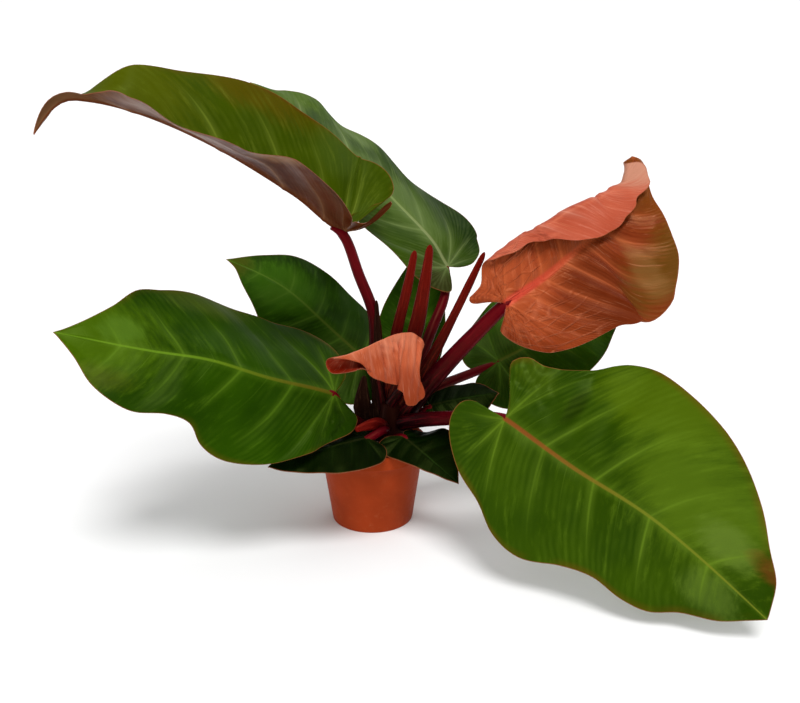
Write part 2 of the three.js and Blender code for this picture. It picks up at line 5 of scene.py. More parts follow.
import bmesh
import bpy
import numpy as np
from bpy.props import FloatProperty, FloatVectorProperty, IntProperty, PointerProperty
from bpy.types import NodeSocket, Operator, Panel, PropertyGroup
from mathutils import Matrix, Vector


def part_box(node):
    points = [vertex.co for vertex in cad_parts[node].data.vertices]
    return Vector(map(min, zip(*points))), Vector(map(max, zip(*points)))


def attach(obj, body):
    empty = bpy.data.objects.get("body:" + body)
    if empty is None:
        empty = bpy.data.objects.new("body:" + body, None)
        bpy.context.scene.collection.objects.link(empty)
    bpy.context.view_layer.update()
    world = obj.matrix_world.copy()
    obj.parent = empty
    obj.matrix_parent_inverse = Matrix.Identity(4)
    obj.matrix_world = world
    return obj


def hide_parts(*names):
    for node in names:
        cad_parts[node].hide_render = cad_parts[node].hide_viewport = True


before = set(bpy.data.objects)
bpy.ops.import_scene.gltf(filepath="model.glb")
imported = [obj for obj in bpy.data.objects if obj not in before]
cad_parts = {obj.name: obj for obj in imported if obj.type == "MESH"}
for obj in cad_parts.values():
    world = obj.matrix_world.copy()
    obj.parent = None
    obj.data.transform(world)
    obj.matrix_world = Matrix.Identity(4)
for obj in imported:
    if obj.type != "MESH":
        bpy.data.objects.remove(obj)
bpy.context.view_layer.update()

bl_info = {
    "name": "Potted philodendron",
    "version": (1, 0, 0),
    "blender": (4, 5, 0),
    "location": "View3D > Sidebar > Plant",
    "description": "Builds a potted red-stemmed philodendron round its frame",
    "category": "Object",
}

MM = 0.001


def half(outline, fold=(0,), **traits):
    """One half of a blade."""
    return {"outline": outline, "fold": fold, **traits}


def leaf(midrib, up, right, left, tone, ruffle=1.0, quilt=0.03, **traits):
    """One blade, with its halves by side: 1 is the right one and -1 the left one."""
    return {
        "midrib": midrib, "up": up, 1: right, -1: left, "tone": tone, "ruffle": ruffle,
        "quilt": quilt, **traits,
    }


# Leaf shapes, in millimetres. Each has its midrib from behind the stalk's joint, through it, to
# the tip; the direction that its upper face looks to at even stations; and its right and left
# half. A half has its outline as (along, out) from the joint round the lobe to the tip, and its
# fold in degrees at even stations. "roll" turns a half over, from "start" off the midrib and over
# "span"; "lift" folds its lobe up. "ruffle" waves the margin and "quilt" arches the blade between
# its veins. "folds" are (height, size, (along, right), reach, stretch) and "cells" (height, number
# across, (along, right), reach), both about a place of the flat blade.
LEAVES = {
    "high_left": leaf(
        [
            (23, 2, 332), (-26, 0, 328), (-75, -15, 368), (-151, -38, 420), (-214, -55, 451),
            (-258, -68, 464), (-283, -75, 464), (-310, -85, 435),
        ],
        [
            (0.45, 0, 0.9), (0.45, 0, 0.9), (0.45, 0, 0.9), (0.45, 0, 0.9), (0.42, 0, 0.9),
            (0.4, -0.05, 0.9), (-0.1, 0.3, 0.9), (-0.8, 0.4, 0.5),
        ],
        half([
            (-4, 18), (-25, 28), (-48, 31), (-58, 38), (-60, 49), (-55, 68), (-40, 84), (-5, 90),
            (40, 87), (90, 86), (131, 89), (179, 77), (215, 62), (249, 50), (272, 36), (300, 20),
            (330, 10),
        ], [50, 50, 50, 48, 46, 44, 25, 5]),
        half([
            (-12, 3), (-26, 7), (-42, 14), (-54, 22), (-57, 28), (-48, 25), (-34, 18), (-20, 15),
            (-8, 26), (6, 42), (24, 60), (60, 80), (110, 88), (165, 80), (215, 70), (240, 71),
            (254, 64), (265, 42), (275, 19), (288, 7), (302, 9), (316, 9), (334, 5),
        ], [26, 26, 27, 14, 12, 22, 30, 30], lift=45),
        tone="olive", ruffle=1.2, quilt=0.04, sweep=1.6,
    ),
    "high_back": leaf(
        [
            (106, 92, 248), (86, 95, 267), (68, 99, 296), (22, 112, 343), (-32, 130, 399),
            (-141, 160, 468),
        ],
        [(0.53, -0.49, 0.65)],
        half([
            (-13, 16), (-22, 34), (-18, 60), (14, 73), (50, 73), (80, 64), (105, 57), (135, 56),
            (163, 56), (185, 48), (206, 37), (226, 39), (248, 46), (265, 42), (279, 28), (289, 12),
        ], [5, -3, -8, -10, -5, 0]),
        half([
            (-13, 12), (-20, 26), (-6, 40), (15, 53), (50, 60), (100, 66), (150, 64), (200, 54),
            (250, 36), (285, 18),
        ], [-5]),
        tone="grey_green",
    ),
    "back_left": leaf(
        [(10, 52, 152), (-12, 60, 169), (-44, 75, 194), (-106, 110, 239), (-176, 140, 265)],
        [(0.1, -0.7, 0.7)],
        half([
            (-12, 8), (-28, 22), (-28, 40), (-5, 52), (35, 58), (80, 57), (120, 54), (145, 46),
            (168, 29), (190, 12),
        ], [-20, -18, -8, 0]),
        half([
            (-16, 6), (-36, 16), (-40, 36), (-20, 58), (15, 67), (80, 62), (115, 53), (146, 38),
            (171, 23), (193, 6),
        ]),
        tone="dark",
    ),
    "front_left": leaf(
        [
            (-10, -44, 148), (-38, -50, 165), (-103, -70, 190), (-159, -85, 214), (-216, -98, 228),
            (-301, -115, 252),
        ],
        [(-0.1, -0.72, 0.69)],
        half([
            (-6, 12), (-10, 30), (-5, 52), (8, 72), (35, 84), (75, 82), (115, 82), (155, 84),
            (190, 78), (215, 70), (238, 42), (262, 17),
        ], [-22, -22, -12, 0]),
        half([
            (-20, 6), (-36, 12), (-38, 26), (-28, 40), (-4, 58), (28, 74), (62, 88), (95, 93),
            (124, 84), (145, 67), (172, 62), (200, 64), (222, 57), (242, 44), (262, 20),
        ], [-10, -12, -5, 0]),
        tone="green", ruffle=1.2, quilt=0.035,
        folds=[(1.0, 17, (-8, -30), 26, 1.0), (1.2, 40, (120, 30), 70, 0.5)],
    ),
    "young_right": leaf(
        [
            (126, -32, 244), (142, -20, 254), (186, 5, 278), (231, 28, 308), (263, 42, 322),
            (284, 54, 346), (290, 61, 370), (282, 64, 396),
        ],
        [(0, -0.87, 0.42)],
        half([
            (-2, 7), (-14, 14), (-27, 17), (-27, 30), (-18, 50), (-2, 65), (16, 73), (34, 79),
            (50, 83), (67, 87), (81, 91), (94, 99), (106, 102), (118, 102), (128, 103), (138, 107),
            (144, 106), (150, 101), (154, 93), (162, 83), (171, 71), (180, 52), (189, 35),
            (201, 16), (216, 9), (232, 8),
        ]),
        half([
            (-8, 12), (-22, 17), (-31, 24), (-30, 29), (-20, 30), (-10, 32), (-3, 40), (3, 50),
            (8, 58), (20, 64), (40, 70), (62, 71), (80, 73), (100, 85), (118, 92), (140, 90),
            (160, 86), (180, 77), (200, 65), (215, 56), (226, 48), (234, 36),
        ], [10], roll=[175], start=[40, 42, 43, 38, 35, 33, 31, 25, 13, 6], span=24),
        tone="young", ruffle=0.3, quilt=0.14, rib=6.0, veins=13, cells=(1.7, 4, (10, 0), 80),
        folds=[(1.6, 9, (76, -68), 13, 1.0)],
    ),
    "young_middle": leaf(
        [
            (60, -33, 229), (43, -42, 229.5), (29, -50, 230.5), (11, -62, 227), (-8, -77, 222),
            (-22, -87.5, 219.5), (-34, -95.5, 219),
        ],
        [(0, -0.2, 1)],
        half([
            (-8, 8), (-14, 20), (-10, 34), (10, 42), (35, 41), (55, 39), (72, 39), (85, 38),
            (92, 34), (97, 18),
        ], [-50, -50, -45, -30, -20], roll=[0, 0, -100, -190, -190], start=[2], span=38),
        half([
            (-5, 3), (-13, 9), (-17, 16), (-15, 25), (-13, 32), (-12, 44), (-15, 57), (-20, 74),
            (-15, 80), (-8, 84), (-1, 82), (1, 73), (3, 66), (12, 61), (28, 56), (43, 46), (54, 37),
            (59, 29), (61, 22), (65, 15), (70, 11), (78, 6), (87, 2),
        ], [-84]),
        tone="young_under", ruffle=0.3,
        folds=[(1.3, 9, (0, -30), 60, 0.16), (1.0, 7, (22, -6), 20, 0.6)],
    ),
    "low_right": leaf(
        [(112, -74, 165), (137, -90, 153), (200, -130, 118), (270, -190, 90), (360, -255, 25)],
        [(-0.25, -0.75, 0.6), (-0.33, -0.81, 0.47)],
        half([
            (-18, 3), (-36, 2), (-47, 10), (-48, 28), (-36, 48), (-8, 70), (30, 84), (60, 100),
            (88, 103), (125, 87), (160, 78), (200, 77), (228, 69), (250, 50), (278, 32), (296, 13),
        ]),
        half([
            (0, 5), (-6, 17), (-22, 40), (-28, 54), (-18, 66), (2, 69), (35, 88), (70, 118),
            (100, 126), (145, 119), (195, 100), (240, 72), (268, 48), (291, 30), (302, 12),
        ]),
        tone="bright", ruffle=1.2, quilt=0.05,
        folds=[(1.3, 15, (-6, -52), 26, 1.0), (1.6, 34, (60, -60), 50, 0.5)],
    ),
    "back_right": leaf(
        [(118, 50, 155), (144, 60, 164), (187, 74, 182), (241, 98, 204), (313, 130, 222)],
        [(-0.1, -0.75, 0.65)],
        half([
            (-33, 8), (-41, 20), (-37, 38), (-20, 57), (15, 66), (50, 66), (88, 61), (115, 51),
            (139, 34), (160, 18),
        ]),
        half([
            (-31, 3), (-37, 14), (-34, 28), (-24, 42), (3, 58), (32, 70), (65, 70), (105, 57),
            (140, 36), (168, 16),
        ]),
        tone="dark",
    ),
    "small_left": leaf(
        [(8, -45, 115), (-5, -50, 115), (-52, -72, 111), (-104, -95, 102)],
        [(-0.1, -0.6, 0.8)],
        half([
            (-11, 5), (-13, 9), (-9, 14), (4, 19), (23, 23), (48, 22), (74, 16), (97, 8),
        ], [-20]),
        half([
            (-15, 11), (-18, 20), (-13, 30), (2, 36), (23, 37), (48, 32), (74, 23), (97, 11),
        ]),
        tone="shade", ruffle=0.6,
    ),
    "small_front": leaf(
        [(26, -30, 118), (35, -38, 112), (63, -64, 97), (92, -85, 78)],
        [(0.1, -0.7, 0.75)],
        half([
            (-6, 6), (-12, 16), (-10, 27), (2, 30), (18, 25), (35, 19), (52, 12), (68, 6),
        ]),
        half([
            (-5, 5), (-7, 11), (-3, 19), (8, 29), (22, 37), (37, 38), (52, 30), (68, 14),
        ], [-30, 2, 24, 14]),
        tone="shade", ruffle=0.6,
    ),
    "small_back": leaf(
        [(47, 55, 152), (48, 58, 166), (52, 80, 217), (59, 108, 276)],
        [(0, -0.9, 0.4)],
        half([
            (-12, 9), (-14, 16), (-9, 23), (4, 29), (27, 32), (57, 31), (86, 23), (113, 12),
        ]),
        half([
            (-14, 14), (-17, 26), (-12, 38), (3, 47), (27, 47), (57, 41), (86, 29), (113, 14),
        ]),
        tone="dark", ruffle=0.6,
    ),
    "small_right": leaf(
        [(54, -2, 129), (64, -1, 133), (99, 2, 140), (140, 6, 145)],
        [(0, -0.5, 0.87)],
        half([
            (-10, 7), (-12, 13), (-9, 19), (2, 23), (18, 26), (38, 26), (58, 20), (70, 8),
        ], [-20]),
        half([
            (-10, 4), (-12, 9), (-9, 14), (2, 17), (18, 21), (38, 23), (58, 19), (70, 8),
        ], [-9, -5]),
        tone="shade", ruffle=0.6,
    ),
}

# Leaf stalks, in millimetres: centre points from the base to the joint, radii at even stations.
PETIOLES = {
    "young_right": (
        [(35, 0, 122), (67, -10, 167), (106, -17, 215), (142, -20, 254)],
        [10.5, 10, 9, 8, 7.2],
    ),
    "high_left": (
        [(13, 8, 128), (6, 8, 171), (3, 6, 234), (-12, 2, 279), (-26, 0, 327)],
        [9, 8.5, 6.5, 6, 5.5],
    ),
    "high_back": (
        [(30, 12, 128), (51, 28, 170), (66, 48, 204), (82, 76, 238), (86, 95, 267)],
        [8, 6.5, 6.2, 5.5, 4.5],
    ),
    "low_right": ([(33, -10, 116), (63, -36, 131), (137, -90, 153)], [8, 7.5, 6]),
    "front_left": ([(8, -8, 104), (-12, -24, 119), (-32, -43, 146), (-37, -49, 163)], [9, 7, 6, 5]),
    "back_right": ([(34, 9, 127), (72, 29, 143), (144, 60, 164)], [7, 5.5, 4.6]),
    "back_left": ([(12, 12, 112), (5, 35, 152), (-12, 60, 169)], [7, 5, 4]),
    "young_middle": ([(21, -8, 138), (40, -20, 176), (45, -37, 214)], [6, 4.5, 3.2]),
    "small_back": ([(24, 14, 118), (46, 34, 148), (48, 58, 166)], [6, 4.5, 4]),
    "small_left": ([(10, -10, 100), (13, -32, 117), (-5, -50, 115)], [6, 5, 4]),
    "small_front": ([(22, -14, 98), (35, -38, 112)], [5, 3.5]),
    "small_right": ([(34, 0, 104), (64, -1, 133)], [6.5, 4.5]),
}
SHEATHS = {
    "left": ([(17, 4, 140), (27, 10, 211), (38, 15, 258), (47, 20, 302)], [6.5, 6, 5.2, 4.6, 3]),
    "middle": (
        [(25, 0, 140), (48, 5, 218), (57, 9, 266), (63, 12, 310)],
        [7.5, 7.5, 7.2, 5.6, 3.2],
    ),
    "right": (
        [(34, -2, 132), (63, -5, 185), (87, -2, 233), (120, 3, 304)],
        [9, 7.5, 5, 4, 3.7, 2.4],
    ),
    "low": ([(14, -14, 110), (4, -40, 127), (-16, -57, 127)], [6, 7, 2.5]),
    "dry_tall": ([(6, 2, 112), (7, 0, 202), (6, -2, 253)], [6, 5, 1.5]),
    "dry_short": ([(4, 2, 98), (-9, 2, 124), (-8, 4, 166)], [7, 9, 2]),
}
STEM = ([(22, 0, 60), (22, 0, 100), (22, 0, 138)], [14, 16, 11])

# Side veins: the share of the margin whose veins start at the joint, how far along and out the
# middle control point of a vein lies, and how far behind their ends they leave the midrib.
LOBE_SHARE = 0.38
VEIN_ALONG = 0.35
VEIN_OUT = 0.55
VEIN_SWEEP = 1.12
LOBE_LIFT_SHARE = 0.14
MIDRIB_BLEND = 6
BEND_STEPS = 24
CURVE_SAMPLES = 240
MARGIN_SAMPLES = 400

# Relief: the length of a blade whose midrib is full size, the widest space between veins that
# quilts more as it widens, in millimetres; a blade's half width as a share of its length, the
# number that sets the left half's veins apart, and the angle past which a blade's edge is sharp.
FULL_RIB_LENGTH = 300
WIDEST_QUILT = 30
HALF_WIDTH = 0.3
LEFT_VEINS = 100
SHARP_BLADE = math.radians(50)
TURN = 6.28

# Where the camera looks, in metres.
AIM = Vector((0.031, 0.0, 0.195))

# Leaf colours as 0..255 display values: each face between its veins (deep, light), the veins, the
# midrib at the base and at the tip, and soft patches over a face. A patch has its colour, its
# centre toward the tip and toward the right half, its reach both ways, all as shares of the
# blade's length and half width, and its strength; some patches are painted highlights (pale sheen
# spots) and some painted shade (a dark fold valley, a curled drape). "blush" colours the margin,
# "streak" runs along the veins as painted highlight lines, and "creases" net the blade as far as
# the given share of its length, their pale lines partly cross veins and partly painted highlight
# on the ridges. "gloss" and "sheen" are the strength and the tint of the highlights, "ridges" and
# "bump" the fine relief.
GREEN_SHEEN = (0.7, 1.0, 0.2)
RED_SHEEN = (1.0, 0.45, 0.22)
TONES = {
    "green": {
        "upper": ((22, 48, 0), (36, 66, 0)), "vein": (88, 120, 26),
        "midrib": ((84, 74, 14), (92, 126, 24)),
        "under": ((52, 78, 22), (80, 104, 40)),
        "patches": [
            ((62, 90, 1), (0.86, 0.05), (0.26, 0.6), 0.85),
            # Painted highlight: a pale sheen spot near the tip.
            ((78, 110, 30), (0.78, 0.2), (0.09, 0.2), 0.5),
            ((66, 82, 20), (0.52, 0.95), (0.16, 0.25), 0.75),
            ((72, 76, 4), (0.84, -0.42), (0.14, 0.18), 0.35),
            ((22, 44, 0), (0.0, -0.1), (0.2, 0.6), 0.7),
        ],
        "blush": ((84, 70, 12), 0.45),
        "gloss": 0.08, "ridges": 0.1,
    },
    "bright": {
        "upper": ((28, 52, 0), (46, 70, 0)), "vein": (100, 128, 30),
        "midrib": ((124, 58, 26), (104, 112, 28)),
        "under": ((60, 82, 24), (90, 106, 42)),
        "patches": [
            ((72, 94, 6), (0.4, -1.1), (0.26, 0.42), 0.8),
            ((72, 96, 12), (0.64, -0.45), (0.26, 0.6), 0.8),
            # Painted highlights: two pale sheen spots toward the tip.
            ((92, 114, 42), (0.78, -0.28), (0.1, 0.2), 0.5),
            ((80, 102, 34), (0.84, 0.2), (0.1, 0.2), 0.5),
            ((56, 76, 6), (0.0, -0.6), (0.08, 0.22), 0.6),
            # Painted shade: a dark fold valley running out from the midrib.
            ((18, 34, 0), (0.16, -0.55), (0.03, 0.24), 0.75),
            ((88, 44, 12), (0.95, -0.38), (0.1, 0.13), 0.8),
            ((84, 64, 6), (0.38, -1.42), (0.16, 0.1), 0.6),
        ],
        "blush": ((92, 62, 10), 0.5),
        "gloss": 0.1, "ridges": 0.2,
    },
    "olive": {
        "upper": ((46, 62, 0), (62, 78, 0)), "vein": (118, 132, 42),
        "midrib": ((120, 84, 44), (130, 130, 50)),
        "under": ((58, 18, 2), (88, 38, 14)), "under_vein": (140, 98, 66),
        "patches": [
            ((80, 64, 4), (0.4, 0.85), (0.22, 0.32), 0.7),
            ((74, 80, 2), (0.72, 0.2), (0.2, 0.6), 0.7),
            # Painted highlight: a greyish sheen near the base of the right half.
            ((62, 80, 20), (0.12, 0.7), (0.1, 0.25), 0.6),
            ((76, 48, 6), (-0.05, 1.0), (0.1, 0.14), 0.6),
        ],
        "under_patches": [
            # Painted highlights: the pale pink-tan sheen along the underside strip.
            ((150, 112, 84), (0.34, -0.8), (0.06, 0.34), 0.8),
            ((116, 78, 52), (0.62, -0.5), (0.16, 0.5), 0.55),
            ((112, 80, 52), (0.95, 0.0), (0.2, 0.5), 0.7),
        ],
        "blush": ((84, 48, 8), 0.6),
        "gloss": 0.05, "ridges": 0.15,
    },
    "grey_green": {
        "upper": ((30, 52, 2), (62, 84, 18)), "vein": (124, 142, 84),
        "midrib": ((126, 136, 88), (110, 136, 62)),
        "under": ((60, 46, 24), (88, 70, 42)),
        "patches": [
            # Painted highlights: the grey-green sheen over the blade.
            ((78, 98, 44), (0.3, 0.05), (0.2, 0.34), 0.75),
            ((86, 106, 48), (0.6, 0.45), (0.1, 0.2), 0.7),
            ((62, 86, 0), (0.95, 0.3), (0.2, 0.7), 0.9),
            ((16, 38, 0), (0.08, 0.8), (0.24, 0.42), 0.95),
            ((40, 38, 10), (-0.06, -0.35), (0.12, 0.34), 0.9),
        ],
        "gloss": 0.06, "ridges": 0.3,
    },
    "dark": {
        "upper": ((18, 44, 0), (42, 78, 4)), "vein": (80, 114, 32),
        "midrib": ((70, 80, 22), (80, 112, 30)),
        "under": ((36, 52, 18), (56, 74, 30)),
        "patches": [
            ((54, 94, 10), (0.6, 0.05), (0.26, 0.6), 0.8),
            ((68, 74, 14), (0.97, 0.0), (0.14, 0.3), 0.8),
            ((24, 38, 4), (0.0, 0.0), (0.2, 0.8), 0.7),
        ],
        "gloss": 0.08, "ridges": 0.1,
    },
    # Painted shade: near-black greens for the small leaves that lie deep in the crown's shade.
    "shade": {
        "upper": ((1, 8, 0), (4, 16, 0)), "vein": (16, 30, 4),
        "midrib": ((26, 28, 8), (22, 40, 8)),
        "under": ((18, 28, 8), (34, 44, 16)),
        "patches": [((12, 28, 2), (0.9, 0.0), (0.3, 0.5), 0.4)],
        "gloss": 0.05, "ridges": 0.1,
    },
    "young": {
        "upper": ((98, 28, 3), (144, 58, 22)), "vein": (186, 92, 50),
        "midrib": ((190, 60, 46), (150, 70, 32)),
        "under": ((160, 66, 44), (188, 90, 66)), "under_vein": (226, 168, 146),
        "patches": [
            ((162, 70, 36), (0.08, -0.2), (0.2, 0.8), 0.75),
            ((88, 24, 0), (0.42, 0.75), (0.2, 0.85), 0.9),
            ((88, 56, 8), (0.76, 1.0), (0.24, 0.6), 0.95),
            ((108, 54, 8), (0.9, 0.0), (0.2, 0.7), 0.9),
            ((138, 100, 54), (0.62, 0.75), (0.03, 0.6), 0.3),
        ],
        # Painted highlights: pale streaks along the veins, and pale lines on the crease ridges that
        # are partly cross veins.
        "streak": ((214, 140, 102), 0.25), "creases": ((226, 140, 104), 0.12, 0.36),
        "under_patches": [((190, 134, 110), (1.0, -0.4), (0.14, 1.2), 0.9)],
        "gloss": 0.3, "sheen": RED_SHEEN, "ridges": 0.3, "bump": 0.0012,
    },
    "young_under": {
        "upper": ((166, 64, 28), (210, 110, 74)), "vein": (226, 142, 110),
        "midrib": ((206, 110, 80), (216, 124, 92)),
        "under": ((120, 18, 2), (158, 40, 8)),
        "patches": [
            # Painted light and shade: lighter on the top of the roll, darker down the curled drape.
            ((214, 124, 92), (0.25, -0.3), (0.3, 0.35), 0.6),
            ((140, 48, 18), (0.0, -2.3), (0.4, 0.9), 0.75),
            ((150, 56, 28), (0.3, -1.5), (0.25, 0.4), 0.6),
        ],
        # Painted highlights: thin pale streaks along the veins.
        "streak": ((236, 176, 146), 0.3),
        "gloss": 0.3, "sheen": RED_SHEEN, "ridges": 0.2, "bump": 0.0009,
    },
}


def srgb(red, green, blue):
    """A colour given as 0..255 display values, as linear red, green and blue."""
    shares = [level / 255 for level in (red, green, blue)]
    return tuple(s / 12.92 if s <= 0.04045 else ((s + 0.055) / 1.055) ** 2.4 for s in shares)


# Settings

def number(name, description, default, **kind):
    """A number of the panel."""
    return FloatProperty(name=name, description=description, default=default, **kind)


def length(name, description, default):
    """A length of the panel, in metres."""
    return number(name, description, default, unit="LENGTH", subtype="DISTANCE")


def count(name, description, default):
    """A whole number of the panel."""
    return IntProperty(name=name, description=description, default=default, min=0)


def tint(name, description, default):
    """A colour of the panel."""
    return FloatVectorProperty(
        name=name, description=description, subtype="COLOR", size=3, default=default,
    )


class PlantPotProperties(PropertyGroup):
    height: length("Height", "Height of the pot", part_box("pot")[1].z)
    rim_radius: length("Rim radius", "Outer radius at the rim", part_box("pot")[1].y)
    foot_radius: length("Foot radius", "Outer radius at the foot", 45 * MM)
    wall: length("Wall", "Thickness of the wall", 1.8 * MM)
    band_height: length("Rim band", "Height of the band below the rim", 16 * MM)
    band_step: length("Band step", "How far the band stands proud", 1.2 * MM)
    drain_holes: count("Drain holes", "Holes in the floor of the pot", 6)
    color: tint("Colour", "Colour of the plastic", srgb(154, 56, 22))


class PlantSoilProperties(PropertyGroup):
    crumbs: number("Crumbs", "Peat crumbs for each square metre of soil", 150000.0)
    chips: number("Bark chips", "Bark chips for each square metre of soil", 26000.0)
    grains: number("Perlite", "White grains for each square metre of soil", 14000.0)
    seed: count("Seed", "Seed of the scatter", 7)


class PlantLeafProperties(PropertyGroup):
    thickness: number("Thickness", "Thickness of a leaf blade in millimetres", 0.8)
    veins: count("Side veins", "Main side veins in each half of a blade", 8)
    vein_depth: number("Vein depth", "Depth of a side vein's groove in millimetres", 0.35)
    rib_radius: number("Midrib", "Half width of a large blade's midrib in millimetres", 3.0)
    margin_color: tint("Margin", "Colour of the thin line round a blade", srgb(140, 74, 44))


class PlantStalkProperties(PropertyGroup):
    sides: count("Sides", "Sides of a stalk's section", 24)
    steps: count("Steps", "Rings along a stalk", 56)
    crimson: tint("Crimson", "Colour of a stalk near its leaf", srgb(90, 0, 14))
    # The maroon is the stalk's own dark red made darker still as painted shade of the crown.
    maroon: tint("Maroon", "Colour of a stalk near its base", srgb(14, 0, 3))
    sheath_color: tint("Sheath", "Colour of a living sheath", srgb(94, 6, 4))
    dry_color: tint("Dry sheath", "Colour of a withered sheath", srgb(26, 9, 6))


class PlantStageProperties(PropertyGroup):
    lens: number("Lens", "Focal length in millimetres", 46.0, subtype="DISTANCE_CAMERA")
    elevation: number(
        "Elevation", "How far above the level the camera looks from", math.radians(18),
        subtype="ANGLE", unit="ROTATION",
    )
    distance: length("Distance", "From the camera to the point it looks at", 1.105)
    key_strength: number("Key light", "Strength of the main soft light", 2.2)
    side_strength: number("Side light", "Strength of the soft light from the left", 0.7)
    back_strength: number("Back light", "Strength of the soft light from behind", 0.9)
    sky_strength: number("Fill", "Brightness of the studio above the floor's horizon", 0.36)
    floor_color: tint("Floor", "Colour of the floor", (0.9, 0.9, 0.9))


# Curves

def unit(vectors):
    """Vectors of length one."""
    lengths = np.linalg.norm(vectors, axis=-1, keepdims=True)
    return vectors / np.maximum(lengths, 1e-12)


def square_to(vectors, direction):
    """The parts of the vectors that are square to a direction, made length one."""
    return unit(vectors - (vectors * direction).sum(-1, keepdims=True) * direction)


def smooth_step(value, low, high):
    """0 below low, 1 above high, and a smooth rise between."""
    x = np.clip((value - low) / (high - low), 0, 1)
    return x * x * (3 - 2 * x)


def lengths_along(points):
    """The length along a line of points at each point."""
    return np.concatenate([[0], np.cumsum(np.linalg.norm(np.diff(points, axis=0), axis=1))])


def curve_knots(points):
    """Knots 0..1 of a smooth curve, spaced by the square root of the chords."""
    steps = np.sqrt(np.maximum(np.linalg.norm(np.diff(points, axis=0), axis=1), 1e-9))
    knots = np.concatenate([[0], np.cumsum(steps)])
    return knots / knots[-1]


def smooth_curve(points, shares):
    """Points of a smooth curve through the given points, at shares 0..1 of its knots."""
    points = np.asarray(points, float)
    knots = curve_knots(points)
    widths = np.diff(knots)[:, None]
    chords = np.diff(points, axis=0) / widths
    slopes = np.zeros_like(points)
    both = widths[:-1] + widths[1:]
    slopes[1:-1] = (chords[:-1] * widths[1:] + chords[1:] * widths[:-1]) / both
    slopes[0] = (3 * chords[0] - slopes[1]) / 2
    slopes[-1] = (3 * chords[-1] - slopes[-2]) / 2
    i = np.clip(np.searchsorted(knots, shares, side="right") - 1, 0, len(points) - 2)
    width = widths[i]
    x = (shares - knots[i])[..., None] / width
    fall = 2 * x**3 - 3 * x**2 + 1
    leaving = (x**3 - 2 * x**2 + x) * width * slopes[i]
    arriving = (x**3 - x**2) * width * slopes[i + 1]
    return fall * points[i] + (1 - fall) * points[i + 1] + leaving + arriving


def station_value(values, share):
    """The value at a share 0..1 of a list of evenly spaced station values."""
    values = np.asarray(values, float)
    if len(values) == 1:
        return np.full(np.shape(share), values[0])
    x = np.clip(share, 0, 1) * (len(values) - 1)
    i = np.clip(np.floor(x).astype(int), 0, len(values) - 2)
    rise = smooth_step(x - i, 0, 1)
    return values[i] * (1 - rise) + values[i + 1] * rise


def at_length(lengths, samples, wanted):
    """Values of a sampled curve at the wanted lengths along it."""
    return np.stack([np.interp(wanted, lengths, column) for column in samples.T], -1)


class LeafSurface:
    """The curved sheet of one leaf blade, in millimetres."""

    def __init__(self, traits):
        self.leaf = traits
        midrib = np.array(traits["midrib"], float)
        shares = np.linspace(0, 1, CURVE_SAMPLES)
        self.samples = smooth_curve(midrib, shares)
        lengths = lengths_along(self.samples)
        self.lengths = lengths - np.interp(curve_knots(midrib)[1], shares, lengths)
        self.length = self.lengths[-1]
        self.directions = unit(np.gradient(self.samples, self.lengths, axis=0))
        self.margins = {}
        for side in (1, -1):
            points = [(0, 0), *traits[side]["outline"], (self.length, 0)]
            curve = smooth_curve(points, np.linspace(0, 1, MARGIN_SAMPLES))
            self.margins[side] = (lengths_along(curve), curve)

    def frame(self, along):
        """The midrib points, their upward normal and right-hand direction, and their share."""
        point = at_length(self.lengths, self.samples, along)
        direction = unit(at_length(self.lengths, self.directions, along))
        beyond = np.minimum(along - self.lengths[0], 0) + np.maximum(along - self.length, 0)
        share = np.clip(along / self.length, 0, 1)
        ups = np.array(self.leaf["up"], float).T
        normal = square_to(np.stack([station_value(up, share) for up in ups], -1), direction)
        return point + beyond[..., None] * direction, normal, np.cross(direction, normal), share

    def place(self, along, out, side):
        """Points and normals of the bent blade at (along, out) of the flat blade."""
        point, normal, right, share = self.frame(along)
        bent = self.leaf[side]
        lobe = np.clip(-along / (LOBE_LIFT_SHARE * self.length), 0, 1)
        fold = station_value(bent["fold"], share) + bent.get("lift", 0) * lobe
        roll = station_value(bent.get("roll", [0]), share)
        start = station_value(bent.get("start", [0]), share)

        def angle_at(b):
            return np.radians(fold + roll * smooth_step(b, start, start + bent.get("span", 1)))

        across = np.zeros_like(out)
        rise = np.zeros_like(out)
        for k in range(BEND_STEPS):
            angle = angle_at(out * (k + 0.5) / BEND_STEPS)
            across += np.cos(angle) * out / BEND_STEPS
            rise += np.sin(angle) * out / BEND_STEPS
        angle = angle_at(out)[..., None]
        face = normal * np.cos(angle) - right * np.sin(angle) * side
        blend = np.clip(out / MIDRIB_BLEND, 0, 1)[..., None]
        place = point + across[..., None] * right * side + rise[..., None] * normal
        return place, unit(normal * (1 - blend) + face * blend)

    def margin(self, around, side):
        """The flat margin points at shares 0..1 round it."""
        lengths, curve = self.margins[side]
        points = at_length(lengths, curve, around * lengths[-1])
        return points[..., 0], np.maximum(points[..., 1], 0)

    def flat(self, around, share_out, side):
        """The flat places at shares round the margin and shares out along the side vein there."""
        margin_along, margin_out = self.margin(around, side)
        share = np.clip((around - LOBE_SHARE) / (1 - LOBE_SHARE), 0, 1)
        origin = self.length * share ** self.leaf.get("sweep", VEIN_SWEEP)
        middle_along = origin + (margin_along - origin) * VEIN_ALONG
        near = (1 - share_out) ** 2
        middle = 2 * share_out * (1 - share_out)
        far = share_out**2
        along = near * origin + middle * middle_along + far * margin_along
        return along, (middle * VEIN_OUT + far) * margin_out


SURFACES = {name: LeafSurface(traits) for name, traits in LEAVES.items()}


# Node trees

